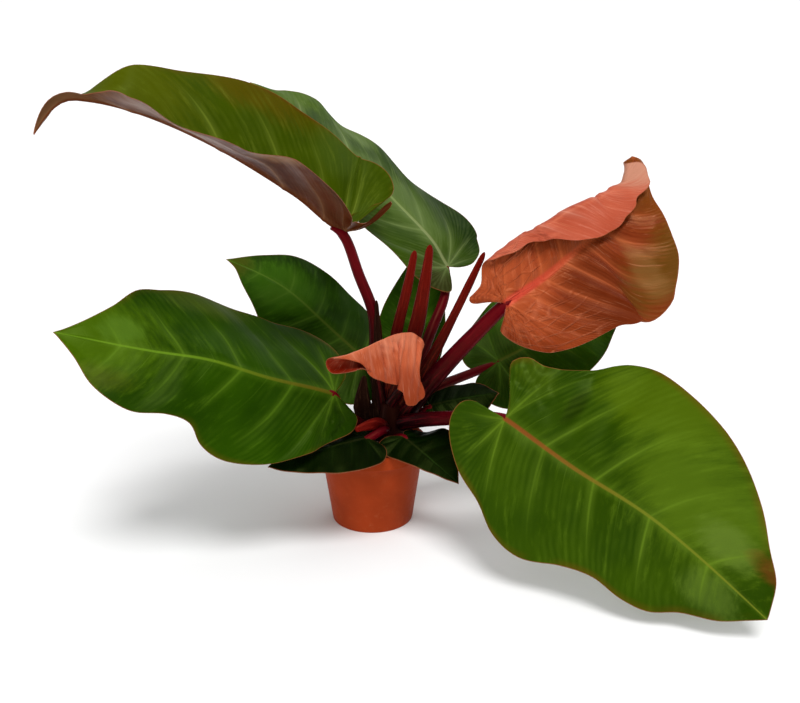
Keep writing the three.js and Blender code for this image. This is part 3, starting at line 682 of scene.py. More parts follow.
class NodeTree:
    """A node tree under construction."""

    def __init__(self, tree):
        self.tree = tree

    def node(self, kind, inputs=(), family="ShaderNode", **settings):
        """A node with its settings, and its inputs linked to sockets or set to values."""
        made = self.tree.nodes.new(family + kind)
        for key, value in settings.items():
            setattr(made, key, value)
        for key, value in dict(inputs).items():
            if value is not None:
                self.feed(made.inputs[key], value)
        return made

    def feed(self, socket, value):
        """Links a socket to another, or sets its value."""
        if isinstance(value, NodeSocket):
            self.tree.links.new(value, socket)
        else:
            socket.default_value = value

    def math(self, operation, a, b=None, c=None):
        """One step of arithmetic."""
        return self.node("Math", {0: a, 1: b, 2: c}, operation=operation).outputs[0]

    def times(self, a, b):
        """The product of two values."""
        return self.math("MULTIPLY", a, b)

    def times_add(self, a, b, c):
        """The product of two values, and a third one added."""
        return self.math("MULTIPLY_ADD", a, b, c)

    def vectors(self, operation, a, b=None, scale=None):
        """One step of arithmetic on vectors."""
        inputs = {0: a, 1: b, "Scale": scale}
        made = self.node("VectorMath", inputs, operation=operation)
        return made.outputs["Value" if operation == "LENGTH" else "Vector"]

    def vector(self, x=0.0, y=0.0, z=0.0):
        """A vector from three values."""
        return self.node("CombineXYZ", {0: x, 1: y, 2: z}).outputs[0]

    def split(self, vector):
        """The three values of a vector."""
        return self.node("SeparateXYZ", {0: vector}).outputs[:]


class Shader(NodeTree):
    """A procedural material under construction."""

    def __init__(self, name, color, roughness, gloss=0.5, sheen=(1, 1, 1)):
        self.material = bpy.data.materials.new(name)
        self.material.use_nodes = True
        super().__init__(self.material.node_tree)
        self.surface = self.tree.nodes["Principled BSDF"].inputs
        self.surface["Roughness"].default_value = roughness
        self.surface["Specular IOR Level"].default_value = gloss
        self.surface["Specular Tint"].default_value = (*sheen, 1)
        self.color = color

    def ramp(self, value, low, high, out_low=0.0, out_high=1.0):
        """A smooth change from out_low to out_high while the value goes from low to high."""
        inputs = {0: value, 1: low, 2: high, 3: out_low, 4: out_high}
        return self.node("MapRange", inputs, interpolation_type="SMOOTHSTEP").outputs[0]

    def fall(self, value, low, high, top=1.0):
        """A smooth fall from the top to nothing while the value goes from low to high."""
        return self.ramp(value, low, high, top, 0.0)

    def mix(self, factor, *colors):
        """A mix of two colours."""
        both = [c if isinstance(c, NodeSocket) else (*c, 1) for c in colors]
        inputs = {0: factor, 6: both[0], 7: both[1]}
        return self.node("Mix", inputs, data_type="RGBA").outputs[2]

    def paint(self, mask, color, strength=None):
        """Mixes a colour over the present one where the mask is high."""
        mask = mask if strength is None else self.times(mask, strength)
        self.color = self.mix(mask, self.color, color)

    def noise(self, vector, scale, detail=3.0, roughness=0.55):
        """Soft noise 0..1."""
        inputs = {"Vector": vector, "Scale": scale, "Detail": detail, "Roughness": roughness}
        return self.node("TexNoise", inputs).outputs[0]

    def cells(self, vector, scale, feature="F1"):
        """The distance to the nearest of scattered spots, or to the border of its cell."""
        inputs = {"Vector": vector, "Scale": scale}
        return self.node("TexVoronoi", inputs, feature=feature).outputs["Distance"]

    def stored(self, name, output="Fac"):
        """A value stored on the mesh."""
        return self.node("Attribute", attribute_name=name).outputs[output]

    def uv(self, name):
        """The two coordinates of a UV map."""
        return self.split(self.node("UVMap", uv_map=name).outputs[0])[:2]

    def place(self):
        """The place on the object, in metres."""
        return self.node("TexCoord").outputs["Object"]

    def finish(self, roughness, height, distance, strength):
        """Links the colour, the roughness and the bump, and returns the material."""
        inputs = {"Height": height, "Distance": distance, "Strength": strength}
        bump = self.node("Bump", inputs).outputs[0]
        self.feed(self.surface["Base Color"], self.color)
        self.feed(self.surface["Normal"], bump)
        if roughness is not None:
            self.feed(self.surface["Roughness"], roughness)
        return self.material


def vein_masks(shader, u, v):
    """Masks of a blade's veins, their halo, the veins between, its fine veins and its midrib."""
    pitch = shader.stored("vein_pitch")
    chance = shader.node("TexWhiteNoise", {"W": shader.math("ROUND", u)}, noise_dimensions="1D")
    gap = shader.times(shader.math("PINGPONG", u, 0.5), pitch)
    line = shader.fall(shader.math("DIVIDE", gap, shader.ramp(v, 0.0, 1.0, 2.1, 0.9)), 0.0, 1.0)
    some = shader.times_add(chance.outputs[0], 0.5, 0.5)
    fade = shader.times(shader.fall(v, 0.25, 0.92), some)
    between = shader.math("PINGPONG", shader.math("ADD", u, 0.5), 0.5)
    between = shader.fall(shader.times(between, pitch), 0.0, 0.8)
    wobble = shader.noise(shader.vector(u, v), 2.0, 2.0)
    fine_u = shader.times_add(wobble, 1.4, shader.times(u, 8.0))
    midrib_gap = shader.stored("midrib_gap")
    return {
        "line": shader.times(line, fade),
        "halo": shader.times(shader.fall(gap, 0.0, 8.0), fade),
        "lesser": shader.times(between, shader.fall(v, 0.1, 0.7)),
        "fine": shader.fall(shader.math("PINGPONG", fine_u, 0.5), 0.0, 0.5),
        "rib": shader.fall(midrib_gap, 0.35, 1.15),
        "glow": shader.fall(midrib_gap, 0.5, 4.0),
    }


def blade_material(tone_name, face, margin_color):
    """The upper or lower skin of a blade."""
    tone, upper = TONES[tone_name], face == "upper"
    deep, light = (srgb(*color) for color in tone[face])
    sheen = tone.get("sheen", GREEN_SHEEN) if upper else RED_SHEEN
    shader = Shader(f"blade_{tone_name}_{face}", deep, 0.4, tone["gloss"], sheen)
    u, v = shader.uv("veins")
    along, out = shader.uv("blade")
    place = shader.place()
    masks = vein_masks(shader, u, v)
    margin_gap = shader.stored("margin_gap")
    broad = shader.noise(place, 13.0, 2.0)
    grain = shader.noise(shader.vector(shader.times(u, 3.0), v), 2.2, 5.0, 0.65)
    shader.paint(shader.ramp(broad, 0.3, 0.72, 0.0, 0.75), light)
    shader.paint(shader.ramp(grain, 0.42, 0.78, 0.0, 0.4), light)
    shader.paint(shader.fall(grain, 0.2, 0.45, 0.3), deep)
    # Patches paint zones of colour; some are painted highlights (sheen spots) and some painted
    # shade, with edges made streaky along the veins.
    patches = tone["patches"] if upper else tone.get("under_patches", ())
    for color, centre, reach, strength in patches:
        away = shader.vectors("SUBTRACT", shader.vector(along, out), (*centre, 0))
        away = shader.vectors("LENGTH", shader.vectors("DIVIDE", away, (*reach, 1)))
        away = shader.times_add(broad, -0.9, away)
        away = shader.math("ADD", away, shader.ramp(grain, 0.3, 0.7, 0.15, -0.2))
        shader.paint(shader.fall(away, 0.0, 0.85, strength), srgb(*color))

    vein_color = srgb(*(tone["vein"] if upper else tone.get("under_vein", tone["vein"])))
    uneven = shader.ramp(shader.noise(place, 24.0, 2.0), 0.4, 0.65)
    masks["fine"] = shader.times(masks["fine"], uneven)
    strengths = {"fine": 0.08, "halo": 0.26, "lesser": 0.12, "line": 0.42, "glow": 0.15}
    for key, strength in strengths.items():
        shader.paint(masks[key], vein_color, strength)
    shader.paint(shader.ramp(grain, 0.52, 0.8, 0.0, 0.25), vein_color)
    if "blush" in tone:
        color, strength = tone["blush"]
        some = shader.ramp(shader.noise(place, 11.0, 2.0), 0.42, 0.6)
        shader.paint(shader.fall(margin_gap, 0.0, 9.0, strength), srgb(*color), some)
    # Painted highlights: thin pale streaks along the veins.
    if "streak" in tone:
        color, strength = tone["streak"]
        thin = shader.vector(shader.times(u, 9.0), shader.times(v, 1.3))
        shader.paint(shader.ramp(shader.noise(thin, 1.6), 0.6, 0.72, 0.0, strength), srgb(*color))

    rib_base, rib_tip = (srgb(*color) for color in tone["midrib"]) if upper else (light, light)
    shader.paint(masks["rib"], shader.mix(shader.ramp(along, 0.05, 0.6), rib_base, rib_tip), 0.85)
    shader.paint(shader.fall(margin_gap, 0.3, 1.0), margin_color, 0.6)
    speck = shader.fall(shader.cells(place, 80.0), 0.025, 0.045, 0.45)
    chosen = shader.ramp(shader.noise(place, 60.0, 1.0), 0.68, 0.72)
    shader.paint(speck, srgb(190, 196, 160), chosen)
    height = shader.times_add(masks["fine"], -tone["ridges"], shader.times(grain, 0.7))
    height = shader.times_add(masks["lesser"], -0.4, height)
    # The creases' pale lines are partly cross veins and partly painted highlight on the raised
    # ridges.
    if "creases" in tone:
        color, strength, end = tone["creases"]
        net = shader.vector(shader.times(u, 0.7), shader.times(v, 8.0))
        crease = shader.fall(shader.cells(net, 1.0, "DISTANCE_TO_EDGE"), 0.0, 0.1)
        crease = shader.times(crease, shader.fall(along, end * 0.5, end))
        shader.paint(shader.times(crease, uneven), srgb(*color), strength)
        height = shader.times_add(crease, 1.6, height)
    height = shader.times_add(shader.noise(place, 900.0, 2.0), 0.1, height)
    rough = shader.ramp(shader.noise(place, 50.0, 4.0), 0.3, 0.75, 0.32, 0.46)
    return shader.finish(rough, height, tone.get("bump", 0.0005), 0.55)


def margin_material(color):
    """The thin pale edge of a blade."""
    shader = Shader("blade_margin", color, 0.45)
    cloud = shader.noise(shader.place(), 120.0)
    shader.paint(shader.ramp(cloud, 0.3, 0.7), srgb(112, 56, 30))
    return shader.finish(None, cloud, 0.0002, 0.4)


def stalk_material(name, colors, roughness, streak=0.5, turn=(0.1, 0.95)):
    """A stalk's skin with streaks along its length, in a base, a top and a streak colour."""
    base_color, top_color, streak_color = colors
    shader = Shader(name, base_color, roughness, 0.12, RED_SHEEN)
    along = shader.stored("along")
    x, y, _ = shader.split(shader.stored("around", "Vector"))
    lengthwise = shader.vector(x, y, shader.times(along, 1.6))
    streaks = shader.noise(lengthwise, 3.2, 5.0, 0.65)
    fine = shader.noise(lengthwise, 11.0, 3.0, 0.6)
    place = shader.place()
    mottle = shader.noise(place, 70.0, 4.0)
    blend = shader.math("ADD", along, shader.times_add(mottle, 0.3, -0.15))
    shader.paint(shader.ramp(blend, *turn), top_color)
    shader.paint(shader.ramp(streaks, 0.5, 0.72, 0.0, streak), streak_color)
    shader.paint(shader.ramp(fine, 0.55, 0.8, 0.0, streak), base_color)
    shader.paint(shader.fall(shader.cells(place, 420.0), 0.12, 0.2, 0.3), streak_color)
    rough = shader.ramp(mottle, 0.3, 0.7, roughness - 0.06, roughness + 0.1)
    return shader.finish(rough, shader.times_add(fine, 0.5, streaks), 0.0005, 0.5)


def pot_material(color):
    """Moulded plastic with a faint orange-peel skin, scuffs and dust."""
    shader = Shader("pot_plastic", color, 0.5, 0.1, RED_SHEEN)
    place = shader.place()
    shader.paint(shader.ramp(shader.noise(place, 26.0, 4.0), 0.35, 0.7), [0.8 * c for c in color])
    dust = shader.noise(place, 140.0, 6.0, 0.7)
    low_down = shader.ramp(shader.split(place)[2], 0.0, 0.05, 0.3, 0.08)
    shader.paint(shader.ramp(dust, 0.52, 0.75), srgb(176, 112, 78), low_down)
    level = shader.node("Mapping", {"Vector": place, "Scale": (1.0, 1.0, 14.0)}).outputs[0]
    scuffs = shader.noise(level, 90.0, 5.0, 0.7)
    shader.paint(shader.ramp(scuffs, 0.62, 0.8, 0.0, 0.25), srgb(180, 92, 58))
    height = shader.times_add(scuffs, 0.4, shader.noise(place, 700.0, 2.0))
    return shader.finish(shader.ramp(dust, 0.3, 0.75, 0.42, 0.62), height, 0.0003, 0.35)


def soil_material():
    """Dark moist peat."""
    shader = Shader("soil_peat", srgb(26, 16, 10), 0.9)
    lumps = shader.noise(shader.place(), 320.0, 6.0, 0.7)
    shader.paint(shader.ramp(lumps, 0.35, 0.7), srgb(66, 44, 30))
    return shader.finish(None, lumps, 0.002, 1.0)


def grain_material(name, dark, light, scale, roughness):
    """A small rough piece of bark, peat or perlite."""
    shader = Shader(name, srgb(*dark), roughness)
    place = shader.place()
    shader.paint(shader.ramp(shader.noise(place, scale, 5.0, 0.65), 0.35, 0.65), srgb(*light))
    return shader.finish(None, shader.noise(place, scale * 5), 0.0006, 0.8)


# Mesh building

def linked(name, data):
    """A new object of the scene."""
    made = bpy.data.objects.new(name, data)
    bpy.context.scene.collection.objects.link(made)
    return made


def add_object(name, mesh, node, slot):
    """Puts a finished mesh in the scene in place of a node of the frame."""
    piece = linked(name, mesh)
    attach(piece, "root")
    if node:
        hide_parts(node)


def evaluated_mesh(carrier):
    """The mesh that an object's modifiers make; the object is removed."""
    graph = bpy.context.evaluated_depsgraph_get()
    mesh = bpy.data.meshes.new_from_object(carrier.evaluated_get(graph))
    carrier.modifiers.clear()
    bpy.data.objects.remove(carrier)
    return mesh


def mesh_from(build, name):
    """A mesh with the shape that a bmesh has."""
    mesh = bpy.data.meshes.new(name)
    build.to_mesh(mesh)
    return mesh


def ring(build, radius, height, segments):
    """New vertices round the Z axis, at a height given as a function of x and y."""
    turns = np.linspace(0, 2 * math.pi, segments, endpoint=False)
    spots = [(radius * math.cos(t), radius * math.sin(t)) for t in turns]
    return [build.verts.new((x, y, height(x, y))) for x, y in spots]


def store_values(mesh, name, values):
    """Stores a number or a vector on each vertex of a mesh."""
    kind, key = ("FLOAT_VECTOR", "vector") if values.ndim > 1 else ("FLOAT", "value")
    layer = mesh.attributes.new(name, kind, "POINT")
    layer.data.foreach_set(key, values.astype(np.float32).ravel())


def bell(x):
    """1 at zero, and soon nothing away from it."""
    return np.exp(-(x**2))


def hump(x):
    """0 at whole numbers and 1 half way between them."""
    return 0.5 * (1 - np.cos(2 * np.pi * x))


def wrinkles(x, y, size, seed, waves=7):
    """Soft folds of about the given size over a plane, between -1 and 1."""
    rng = np.random.default_rng(seed)
    total = np.zeros_like(x)
    for _ in range(waves):
        turn = rng.uniform(0, math.pi)
        wave = 2 * math.pi / (size * rng.uniform(0.7, 1.5))
        total += np.sin(wave * (x * math.cos(turn) + y * math.sin(turn)) + rng.uniform(0, TURN))
    return total / math.sqrt(waves)


def blade_relief(traits, surface, grid, settings, side, seed):
    """Heights of the upper and lower faces over the smooth sheet, in millimetres."""
    along, out, around, share_out, pitch = grid
    u = around * traits.get("veins", settings.veins)
    rib_scale = settings.rib_radius * (0.35 + 0.65 * surface.length / FULL_RIB_LENGTH)
    rib_scale = traits.get("rib", rib_scale)
    rib = rib_scale * (0.22 + 0.78 * np.clip(1 - along / surface.length, 0, 1) ** 0.8)
    midrib_gap = np.hypot(out, np.minimum(along, 0)) / rib

    def near(at_along, at_right, reach):
        return bell(np.hypot(along - at_along, out * side - at_right) / reach)

    calm = smooth_step(share_out, 0.0, 0.15) * (1 - smooth_step(share_out, 0.7, 1.0))
    if "roll" in traits[side]:
        start = station_value(traits[side]["start"], np.clip(along / surface.length, 0, 1))
        calm = calm * (1 - 0.85 * smooth_step(out, start - 12, start + 8))
    sheet = traits["quilt"] * np.minimum(pitch, WIDEST_QUILT) * hump(u) * calm
    groove = settings.vein_depth * bell(np.abs(u - np.round(u)) * pitch / 1.1)
    groove = groove * (1 - smooth_step(share_out, 0.75, 1.0))

    rng = np.random.default_rng(seed * 2 + (side > 0))
    if "cells" in traits:
        height, across, place, reach = traits["cells"]
        shift = rng.uniform(0, 1, 100)[np.floor(u).astype(int)]
        crossing = hump(share_out * across + shift)
        sheet = sheet + height * near(*place, reach) * hump(u) * crossing * calm
    for cycles in (2.3, 3.7, 5.9):
        wave = np.sin(2 * np.pi * cycles * around + rng.uniform(0, TURN))
        sheet = sheet + traits["ruffle"] * wave * share_out**2 * (2.3 / cycles) ** 0.5
    sheet = sheet * smooth_step(around, 0, 0.06) * (1 - smooth_step(around, 0.97, 1.0))
    for height, size, place, reach, stretch in traits.get("folds", ()):
        mask = near(*place, reach) * smooth_step(out, 1, 10)
        folds = wrinkles(along, out * side * stretch, size, seed)
        sheet = sheet + height * mask * (folds - 0.5 * np.abs(folds))

    trough = 0.35 * rib * bell(midrib_gap / 0.9)
    swell = 0.95 * rib * bell(midrib_gap / 0.85)
    skin = settings.thickness / 2 * (1 - 0.45 * smooth_step(share_out, 0.96, 1.0))
    upper = sheet + skin - groove - trough * 0.5
    lower = sheet - skin - groove * 1.4 - swell
    return upper, lower, midrib_gap


def blade_mesh(name, settings, columns, rows):
    """A closed shell: upper face, lower face and margin, with vein coordinates."""
    traits, surface = LEAVES[name], SURFACES[name]
    seed = sorted(LEAVES).index(name) + 1
    veins = traits.get("veins", settings.veins)
    around_line = np.linspace(0, 1, columns + 1)
    around, share_out = np.meshgrid(around_line, np.linspace(0, 1, rows + 1), indexing="ij")
    shells, values, sides = [], [], {}
    for side in (1, -1):
        along, out = surface.flat(around, share_out, side)
        margin_along, margin_out = surface.margin(around, side)
        round_along, out_along = np.gradient(along)
        round_out, out_out = np.gradient(out)
        area = np.abs(round_along * out_out - round_out * out_along)
        reach = np.maximum(np.linalg.norm(np.stack([out_along, out_out], -1), axis=-1), 1e-6)
        pitch = area / reach * columns / veins
        place, normal = surface.place(along, out, side)
        grid = (along, out, around, share_out, pitch)
        *levels, midrib_gap = blade_relief(traits, surface, grid, settings, side, seed)
        margin_gap = np.hypot(margin_along - along, margin_out - out)
        ids = np.arange(along.size).reshape(along.shape) + len(sides) * along.size
        sides[side] = (ids, along, out)
        shells.append([(place + normal * level[..., None]).reshape(-1, 3) for level in levels])
        values.append([part.ravel() for part in (pitch, margin_gap, midrib_gap)])
    total = 2 * around.size

    # Both halves share the midrib, and all corners at the joint and at the tip are one.
    share = np.arange(total)
    right, left = sides[1][0], sides[-1][0]
    share[left[:, 0]] = right[:, 0]
    for ids in (right, left):
        share[ids[around_line <= LOBE_SHARE, 0]] = right[0, 0]
        share[ids[0, :]] = right[0, 0]
        share[ids[-1, :]] = right[-1, 0]

    faces, corners, kinds = [], [], []

    def add_face(ids, uvs, kind):
        kept = [k for k in range(len(ids)) if ids[k] != ids[k - 1]]
        if len(kept) > 2:
            faces.append([ids[k] for k in kept])
            corners.extend(uvs[k] for k in kept)
            kinds.append(kind)

    for side, (ids, along, out) in sides.items():
        ids = share[ids]
        vein_u = around * veins + (side < 0) * LEFT_VEINS
        flat = (along / surface.length, out * side / (HALF_WIDTH * surface.length))
        uv = np.stack([vein_u, share_out, *flat], -1)
        for i in range(columns):
            for j in range(rows):
                cells = [(i, j), (i, j + 1), (i + 1, j + 1), (i + 1, j)][::side]
                quad, uvs = [ids[c] for c in cells], [uv[c] for c in cells]
                add_face(quad, uvs, 0)
                add_face([q + total for q in quad[::-1]], uvs[::-1], 1)
            near, far = (i, rows), (i + 1, rows)
            quad = [ids[near], ids[near] + total, ids[far] + total, ids[far]][::side]
            add_face(quad, [uv[near], uv[near], uv[far], uv[far]][::side], 2)

    used = np.unique(np.concatenate(faces))
    renumber = np.zeros(2 * total, int)
    renumber[used] = np.arange(len(used))
    points = np.concatenate([shells[half][face] for face in (0, 1) for half in (0, 1)])
    mesh = bpy.data.meshes.new(f"blade_{name}")
    mesh.from_pydata(points[used] * MM, [], [renumber[face].tolist() for face in faces])
    mesh.polygons.foreach_set("material_index", kinds)
    corners = np.array(corners, np.float32)
    for uv_name, part in (("veins", corners[:, :2]), ("blade", corners[:, 2:])):
        mesh.uv_layers.new(name=uv_name).data.foreach_set("uv", part.ravel())
    for key, *parts in zip(("vein_pitch", "margin_gap", "midrib_gap"), *values):
        store_values(mesh, key, np.tile(np.concatenate(parts), 2)[used])
    mesh.shade_smooth()
    mesh.set_sharp_from_angle(angle=SHARP_BLADE)
    return mesh


# Geometry Nodes

class GeometryTree(NodeTree):
    """A Geometry Nodes tree under construction."""

    kinds = {int: "NodeSocketInt", float: "NodeSocketFloat", type(None): "NodeSocketMaterial"}

    def __init__(self, name, inputs):
        super().__init__(bpy.data.node_groups.new(name, "GeometryNodeTree"))
        add = self.tree.interface.new_socket
        add("Geometry", in_out="INPUT", socket_type="NodeSocketGeometry")
        self.identifiers = {}
        for label, value in inputs.items():
            socket = add(label, in_out="INPUT", socket_type=self.kinds[type(value)])
            if value is not None:
                socket.default_value = value
            self.identifiers[label] = socket.identifier
        add("Geometry", in_out="OUTPUT", socket_type="NodeSocketGeometry")
        self.group = self.tree.nodes.new("NodeGroupInput").outputs
        self.end = self.tree.nodes.new("NodeGroupOutput").inputs[0]

    def geometry(self, kind, inputs=(), **settings):
        """The first output of a new geometry node."""
        return self.node(kind, inputs, "GeometryNode", **settings).outputs[0]

    def stored(self, name, kind="FLOAT"):
        """A value stored on the geometry."""
        return self.geometry("InputNamedAttribute", {"Name": name}, data_type=kind)

    def store(self, geometry, name, value, kind="FLOAT"):
        """The geometry with a value stored on it."""
        inputs = {"Geometry": geometry, "Name": name, "Value": value}
        return self.geometry("StoreNamedAttribute", inputs, data_type=kind)

    def skinned(self, geometry, skin):
        """The geometry as real mesh with its material."""
        solid = self.geometry("RealizeInstances", {0: geometry})
        return self.geometry("SetMaterial", {0: solid, "Material": skin})

    def apply(self, name, mesh, values):
        """A plain mesh made by running the tree on a mesh with the given inputs."""
        carrier = linked(name, mesh)
        modifier = carrier.modifiers.new("shape", "NODES")
        modifier.node_group = self.tree
        for label, value in values.items():
            modifier[self.identifiers[label]] = value
        made = evaluated_mesh(carrier)
        made.name = name
        return made


def rod_tree():
    """Skin along a path: a section with keels and a groove, swept and slightly wrinkled."""
    build = GeometryTree("rod_skin", {
        "Sides": 24, "Depth": 1.0, "Keel": 0.0, "Groove": 0.0, "Wrinkle": 0.02, "Skin": None,
    })
    group, radius = build.group, build.stored("radius")
    path = build.geometry("MeshToCurve", {0: group["Geometry"]})
    facing = {"Curve": path, "Normal": build.stored("facing", "FLOAT_VECTOR")}
    path = build.geometry("SetCurveNormal", facing, mode="FREE")
    path = build.store(path, "along", build.geometry("SplineParameter"))

    circle = build.geometry("CurvePrimitiveCircle", {"Resolution": group["Sides"], "Radius": 1.0})
    place = build.geometry("InputPosition")
    section = build.store(circle, "around", place, "FLOAT_VECTOR")
    x, y, _ = build.split(place)
    side = build.math("POWER", build.math("ABSOLUTE", y), 6.0)
    wide = build.times(y, build.math("ADD", build.times(side, group["Keel"]), 1.0))
    front = build.math("POWER", build.math("MAXIMUM", x, 0.0), 8.0)
    deep = build.math("SUBTRACT", x, build.times(front, group["Groove"]))
    moved = build.vector(build.times(deep, group["Depth"]), wide)
    section = build.geometry("SetPosition", {"Geometry": section, "Position": moved})

    swept = {"Curve": path, "Profile Curve": section, "Scale": radius, "Fill Caps": True}
    skin = build.geometry("CurveToMesh", swept)
    lengthwise = build.vector(z=build.times(build.stored("along"), 3.0))
    spot = build.vectors("ADD", build.stored("around", "FLOAT_VECTOR"), lengthwise)
    noise = build.node("TexNoise", {"Vector": spot, "Scale": 1.8, "Detail": 3.0}).outputs[0]
    lift = build.times(build.math("SUBTRACT", noise, 0.5), group["Wrinkle"])
    lift = build.times(lift, radius)
    offset = build.vectors("SCALE", build.geometry("InputNormal"), scale=lift)
    skin = build.geometry("SetPosition", {"Geometry": skin, "Offset": offset})
    skin = build.geometry("SetShadeSmooth", {0: skin})
    build.feed(build.end, build.skinned(skin, group["Skin"]))
    return build


def path_mesh(points, radii, steps, facing, round_tip=0.03, ending=None):
    """A path with its radius and the side it faces, as a line of vertices in metres."""
    fine = smooth_curve(points, np.linspace(0, 1, 20 * steps))
    lengths = lengths_along(fine)
    shares = np.linspace(0, 1, steps + 1)
    if round_tip:
        shares = 1 - (1 - shares) ** 1.3
    centres = at_length(lengths, fine, shares * lengths[-1])
    radius = np.interp(shares, np.linspace(0, 1, len(radii)), radii)
    if round_tip:
        tip = np.clip((shares - (1 - round_tip)) / round_tip, 0, 1)
        radius = radius * np.sqrt(np.maximum(1 - tip**2, 0.01))
    if ending:
        radius = radius * np.interp(shares, *ending)
    mesh = bpy.data.meshes.new("path")
    mesh.from_pydata(centres * MM, [(k, k + 1) for k in range(steps)], [])
    store_values(mesh, "radius", radius * MM)
    direction = unit(np.gradient(centres, axis=0))
    store_values(mesh, "facing", square_to(np.asarray(facing, float), direction))
    return mesh


# What lies on the soil: a number that sets its draws apart, the shape of a piece, its smallest and
# largest size in metres, and how far it tilts in radians.
SCATTER = {
    "Crumbs": (0, (0.8, 1.0, 0.75), (0.0014, 0.0042), (0.0, TURN)),
    "Chips": (11, (1.6, 0.9, 0.35), (0.0032, 0.0068), (-0.4, 0.4)),
    "Grains": (23, (1.0, 0.85, 0.8), (0.0018, 0.0036), (0.0, TURN)),
}


def scatter_tree():
    """Peat crumbs, bark chips and perlite grains scattered over the soil."""
    inputs = {label: 100.0 for label in SCATTER} | {f"{label} skin": None for label in SCATTER}
    build = GeometryTree("soil_scatter", {"Seed": 0, **inputs})
    group = build.group
    join = build.node("JoinGeometry", family="GeometryNode")
    for label, (shift, shape, (small, large), (low, high)) in SCATTER.items():
        seed = build.math("ADD", group["Seed"], float(shift))
        spread = {"Mesh": group["Geometry"], "Density": group[label], "Seed": seed}
        ball = build.geometry("MeshIcoSphere", {"Radius": 1.0, "Subdivisions": 2})
        place = build.geometry("InputPosition")
        lumps = {"Vector": place, "Scale": 1.1, "W": float(shift)}
        lumps = build.node("TexNoise", lumps, noise_dimensions="4D").outputs[0]
        shaped = build.vectors("MULTIPLY", build.vectors("SCALE", place, scale=lumps), shape)
        turn = {0: (low, low, 0.0), 1: (high, high, TURN), "Seed": seed}
        size = {2: small, 3: large, "Seed": seed}
        turn = build.node("RandomValue", turn, "FunctionNode", data_type="FLOAT_VECTOR")
        size = build.node("RandomValue", size, "FunctionNode", data_type="FLOAT")
        spots = build.geometry("InstanceOnPoints", {
            "Points": build.geometry("DistributePointsOnFaces", spread),
            "Instance": build.geometry("SetPosition", {"Geometry": ball, "Position": shaped}),
            "Rotation": turn.outputs[0],
            "Scale": size.outputs[1],
        })
        build.feed(join.inputs[0], build.skinned(spots, group[f"{label} skin"]))
    build.feed(build.end, join.outputs[0])
    return build


# Operators

class PLANT_OT_pot(Operator):
    """Builds the moulded pot with its rim band and drain holes"""

    bl_idname = "plant.build_pot"
    bl_label = "Pot"
    segments = 160
    floor = 2.4 * MM
    edge = 0.8 * MM
    hole_radius = 4.5 * MM
    hole_ring = 32 * MM
    sharp = math.radians(40)

    def profile(self, pot):
        """The section as (radius, height), from under the middle, over the rim, to the floor."""
        slope = (pot.rim_radius - pot.band_step - pot.foot_radius) / pot.height
        floor, edge, band_low = self.floor, self.edge, pot.height - pot.band_height

        def outer(height):
            return pot.foot_radius + slope * height

        def inner(height):
            return outer(height) - pot.wall

        def corner(radius, height, start, size, steps=6):
            turns = np.radians(np.linspace(start, start + 90, steps))
            return [(radius + size * math.cos(t), height + size * math.sin(t)) for t in turns]

        lip = (pot.rim_radius - inner(pot.height)) / 2
        band = np.linspace(band_low + 2 * edge, pot.height - 2 * lip, 4)
        return [
            (0.0, 0.0),
            *corner(pot.foot_radius - edge, edge, -90, edge),
            *((outer(h), h) for h in np.linspace(4 * MM, band_low - edge, 10)),
            (outer(band_low) + pot.band_step * 0.5, band_low + edge * 0.25),
            (outer(band_low) + pot.band_step * 0.92, band_low + edge),
            *((pot.rim_radius - 0.1 * MM, h) for h in band),
            *corner(pot.rim_radius - lip, pot.height - lip, 0, lip),
            *corner(inner(pot.height) + lip, pot.height - lip, 90, lip),
            *((inner(h), h) for h in np.linspace(pot.height - 3 * lip, floor + 3 * edge, 10)),
            (inner(floor) - edge * 0.6, floor + edge * 0.5),
            (inner(floor) - 2 * edge, floor),
            (0.0, floor),
        ]

    def execute(self, context):
        pot = context.scene.plant_pot
        shell = bmesh.new()
        rings = [
            ring(shell, radius, lambda x, y, z=height: z, self.segments if radius else 1)
            for radius, height in self.profile(pot)
        ]
        for low, high in zip(rings, rings[1:]):
            for k in range(self.segments):
                n = (k + 1) % self.segments
                corners = [low[k % len(low)], low[n % len(low)]]
                corners += [high[n % len(high)], high[k % len(high)]]
                shell.faces.new(list(dict.fromkeys(corners)))
        bmesh.ops.recalc_face_normals(shell, faces=shell.faces)
        piece = linked("pot_shell", mesh_from(shell, "pot_shell"))
        shell.free()

        drills = bmesh.new()
        for k in range(pot.drain_holes):
            turn = 2 * math.pi * k / pot.drain_holes
            made = bmesh.ops.create_cone(
                drills, cap_ends=True, segments=32, radius1=self.hole_radius,
                radius2=self.hole_radius, depth=5 * self.floor,
            )
            spot = (self.hole_ring * math.cos(turn), self.hole_ring * math.sin(turn), 0)
            bmesh.ops.translate(drills, verts=made["verts"], vec=spot)
        drill = linked("drain_drills", mesh_from(drills, "drain_drills"))
        drills.free()
        cut = piece.modifiers.new("drain", "BOOLEAN")
        cut.object = drill
        cut.operation = "DIFFERENCE"
        cut.solver = "EXACT"
        final = evaluated_mesh(piece)
        bpy.data.objects.remove(drill)
        final.shade_smooth()
        final.set_sharp_from_angle(angle=self.sharp)
        final.materials.clear()
        final.materials.append(pot_material(tuple(pot.color)))
        add_object("pot_body", final, "pot", "pot_plastic")
        return {"FINISHED"}


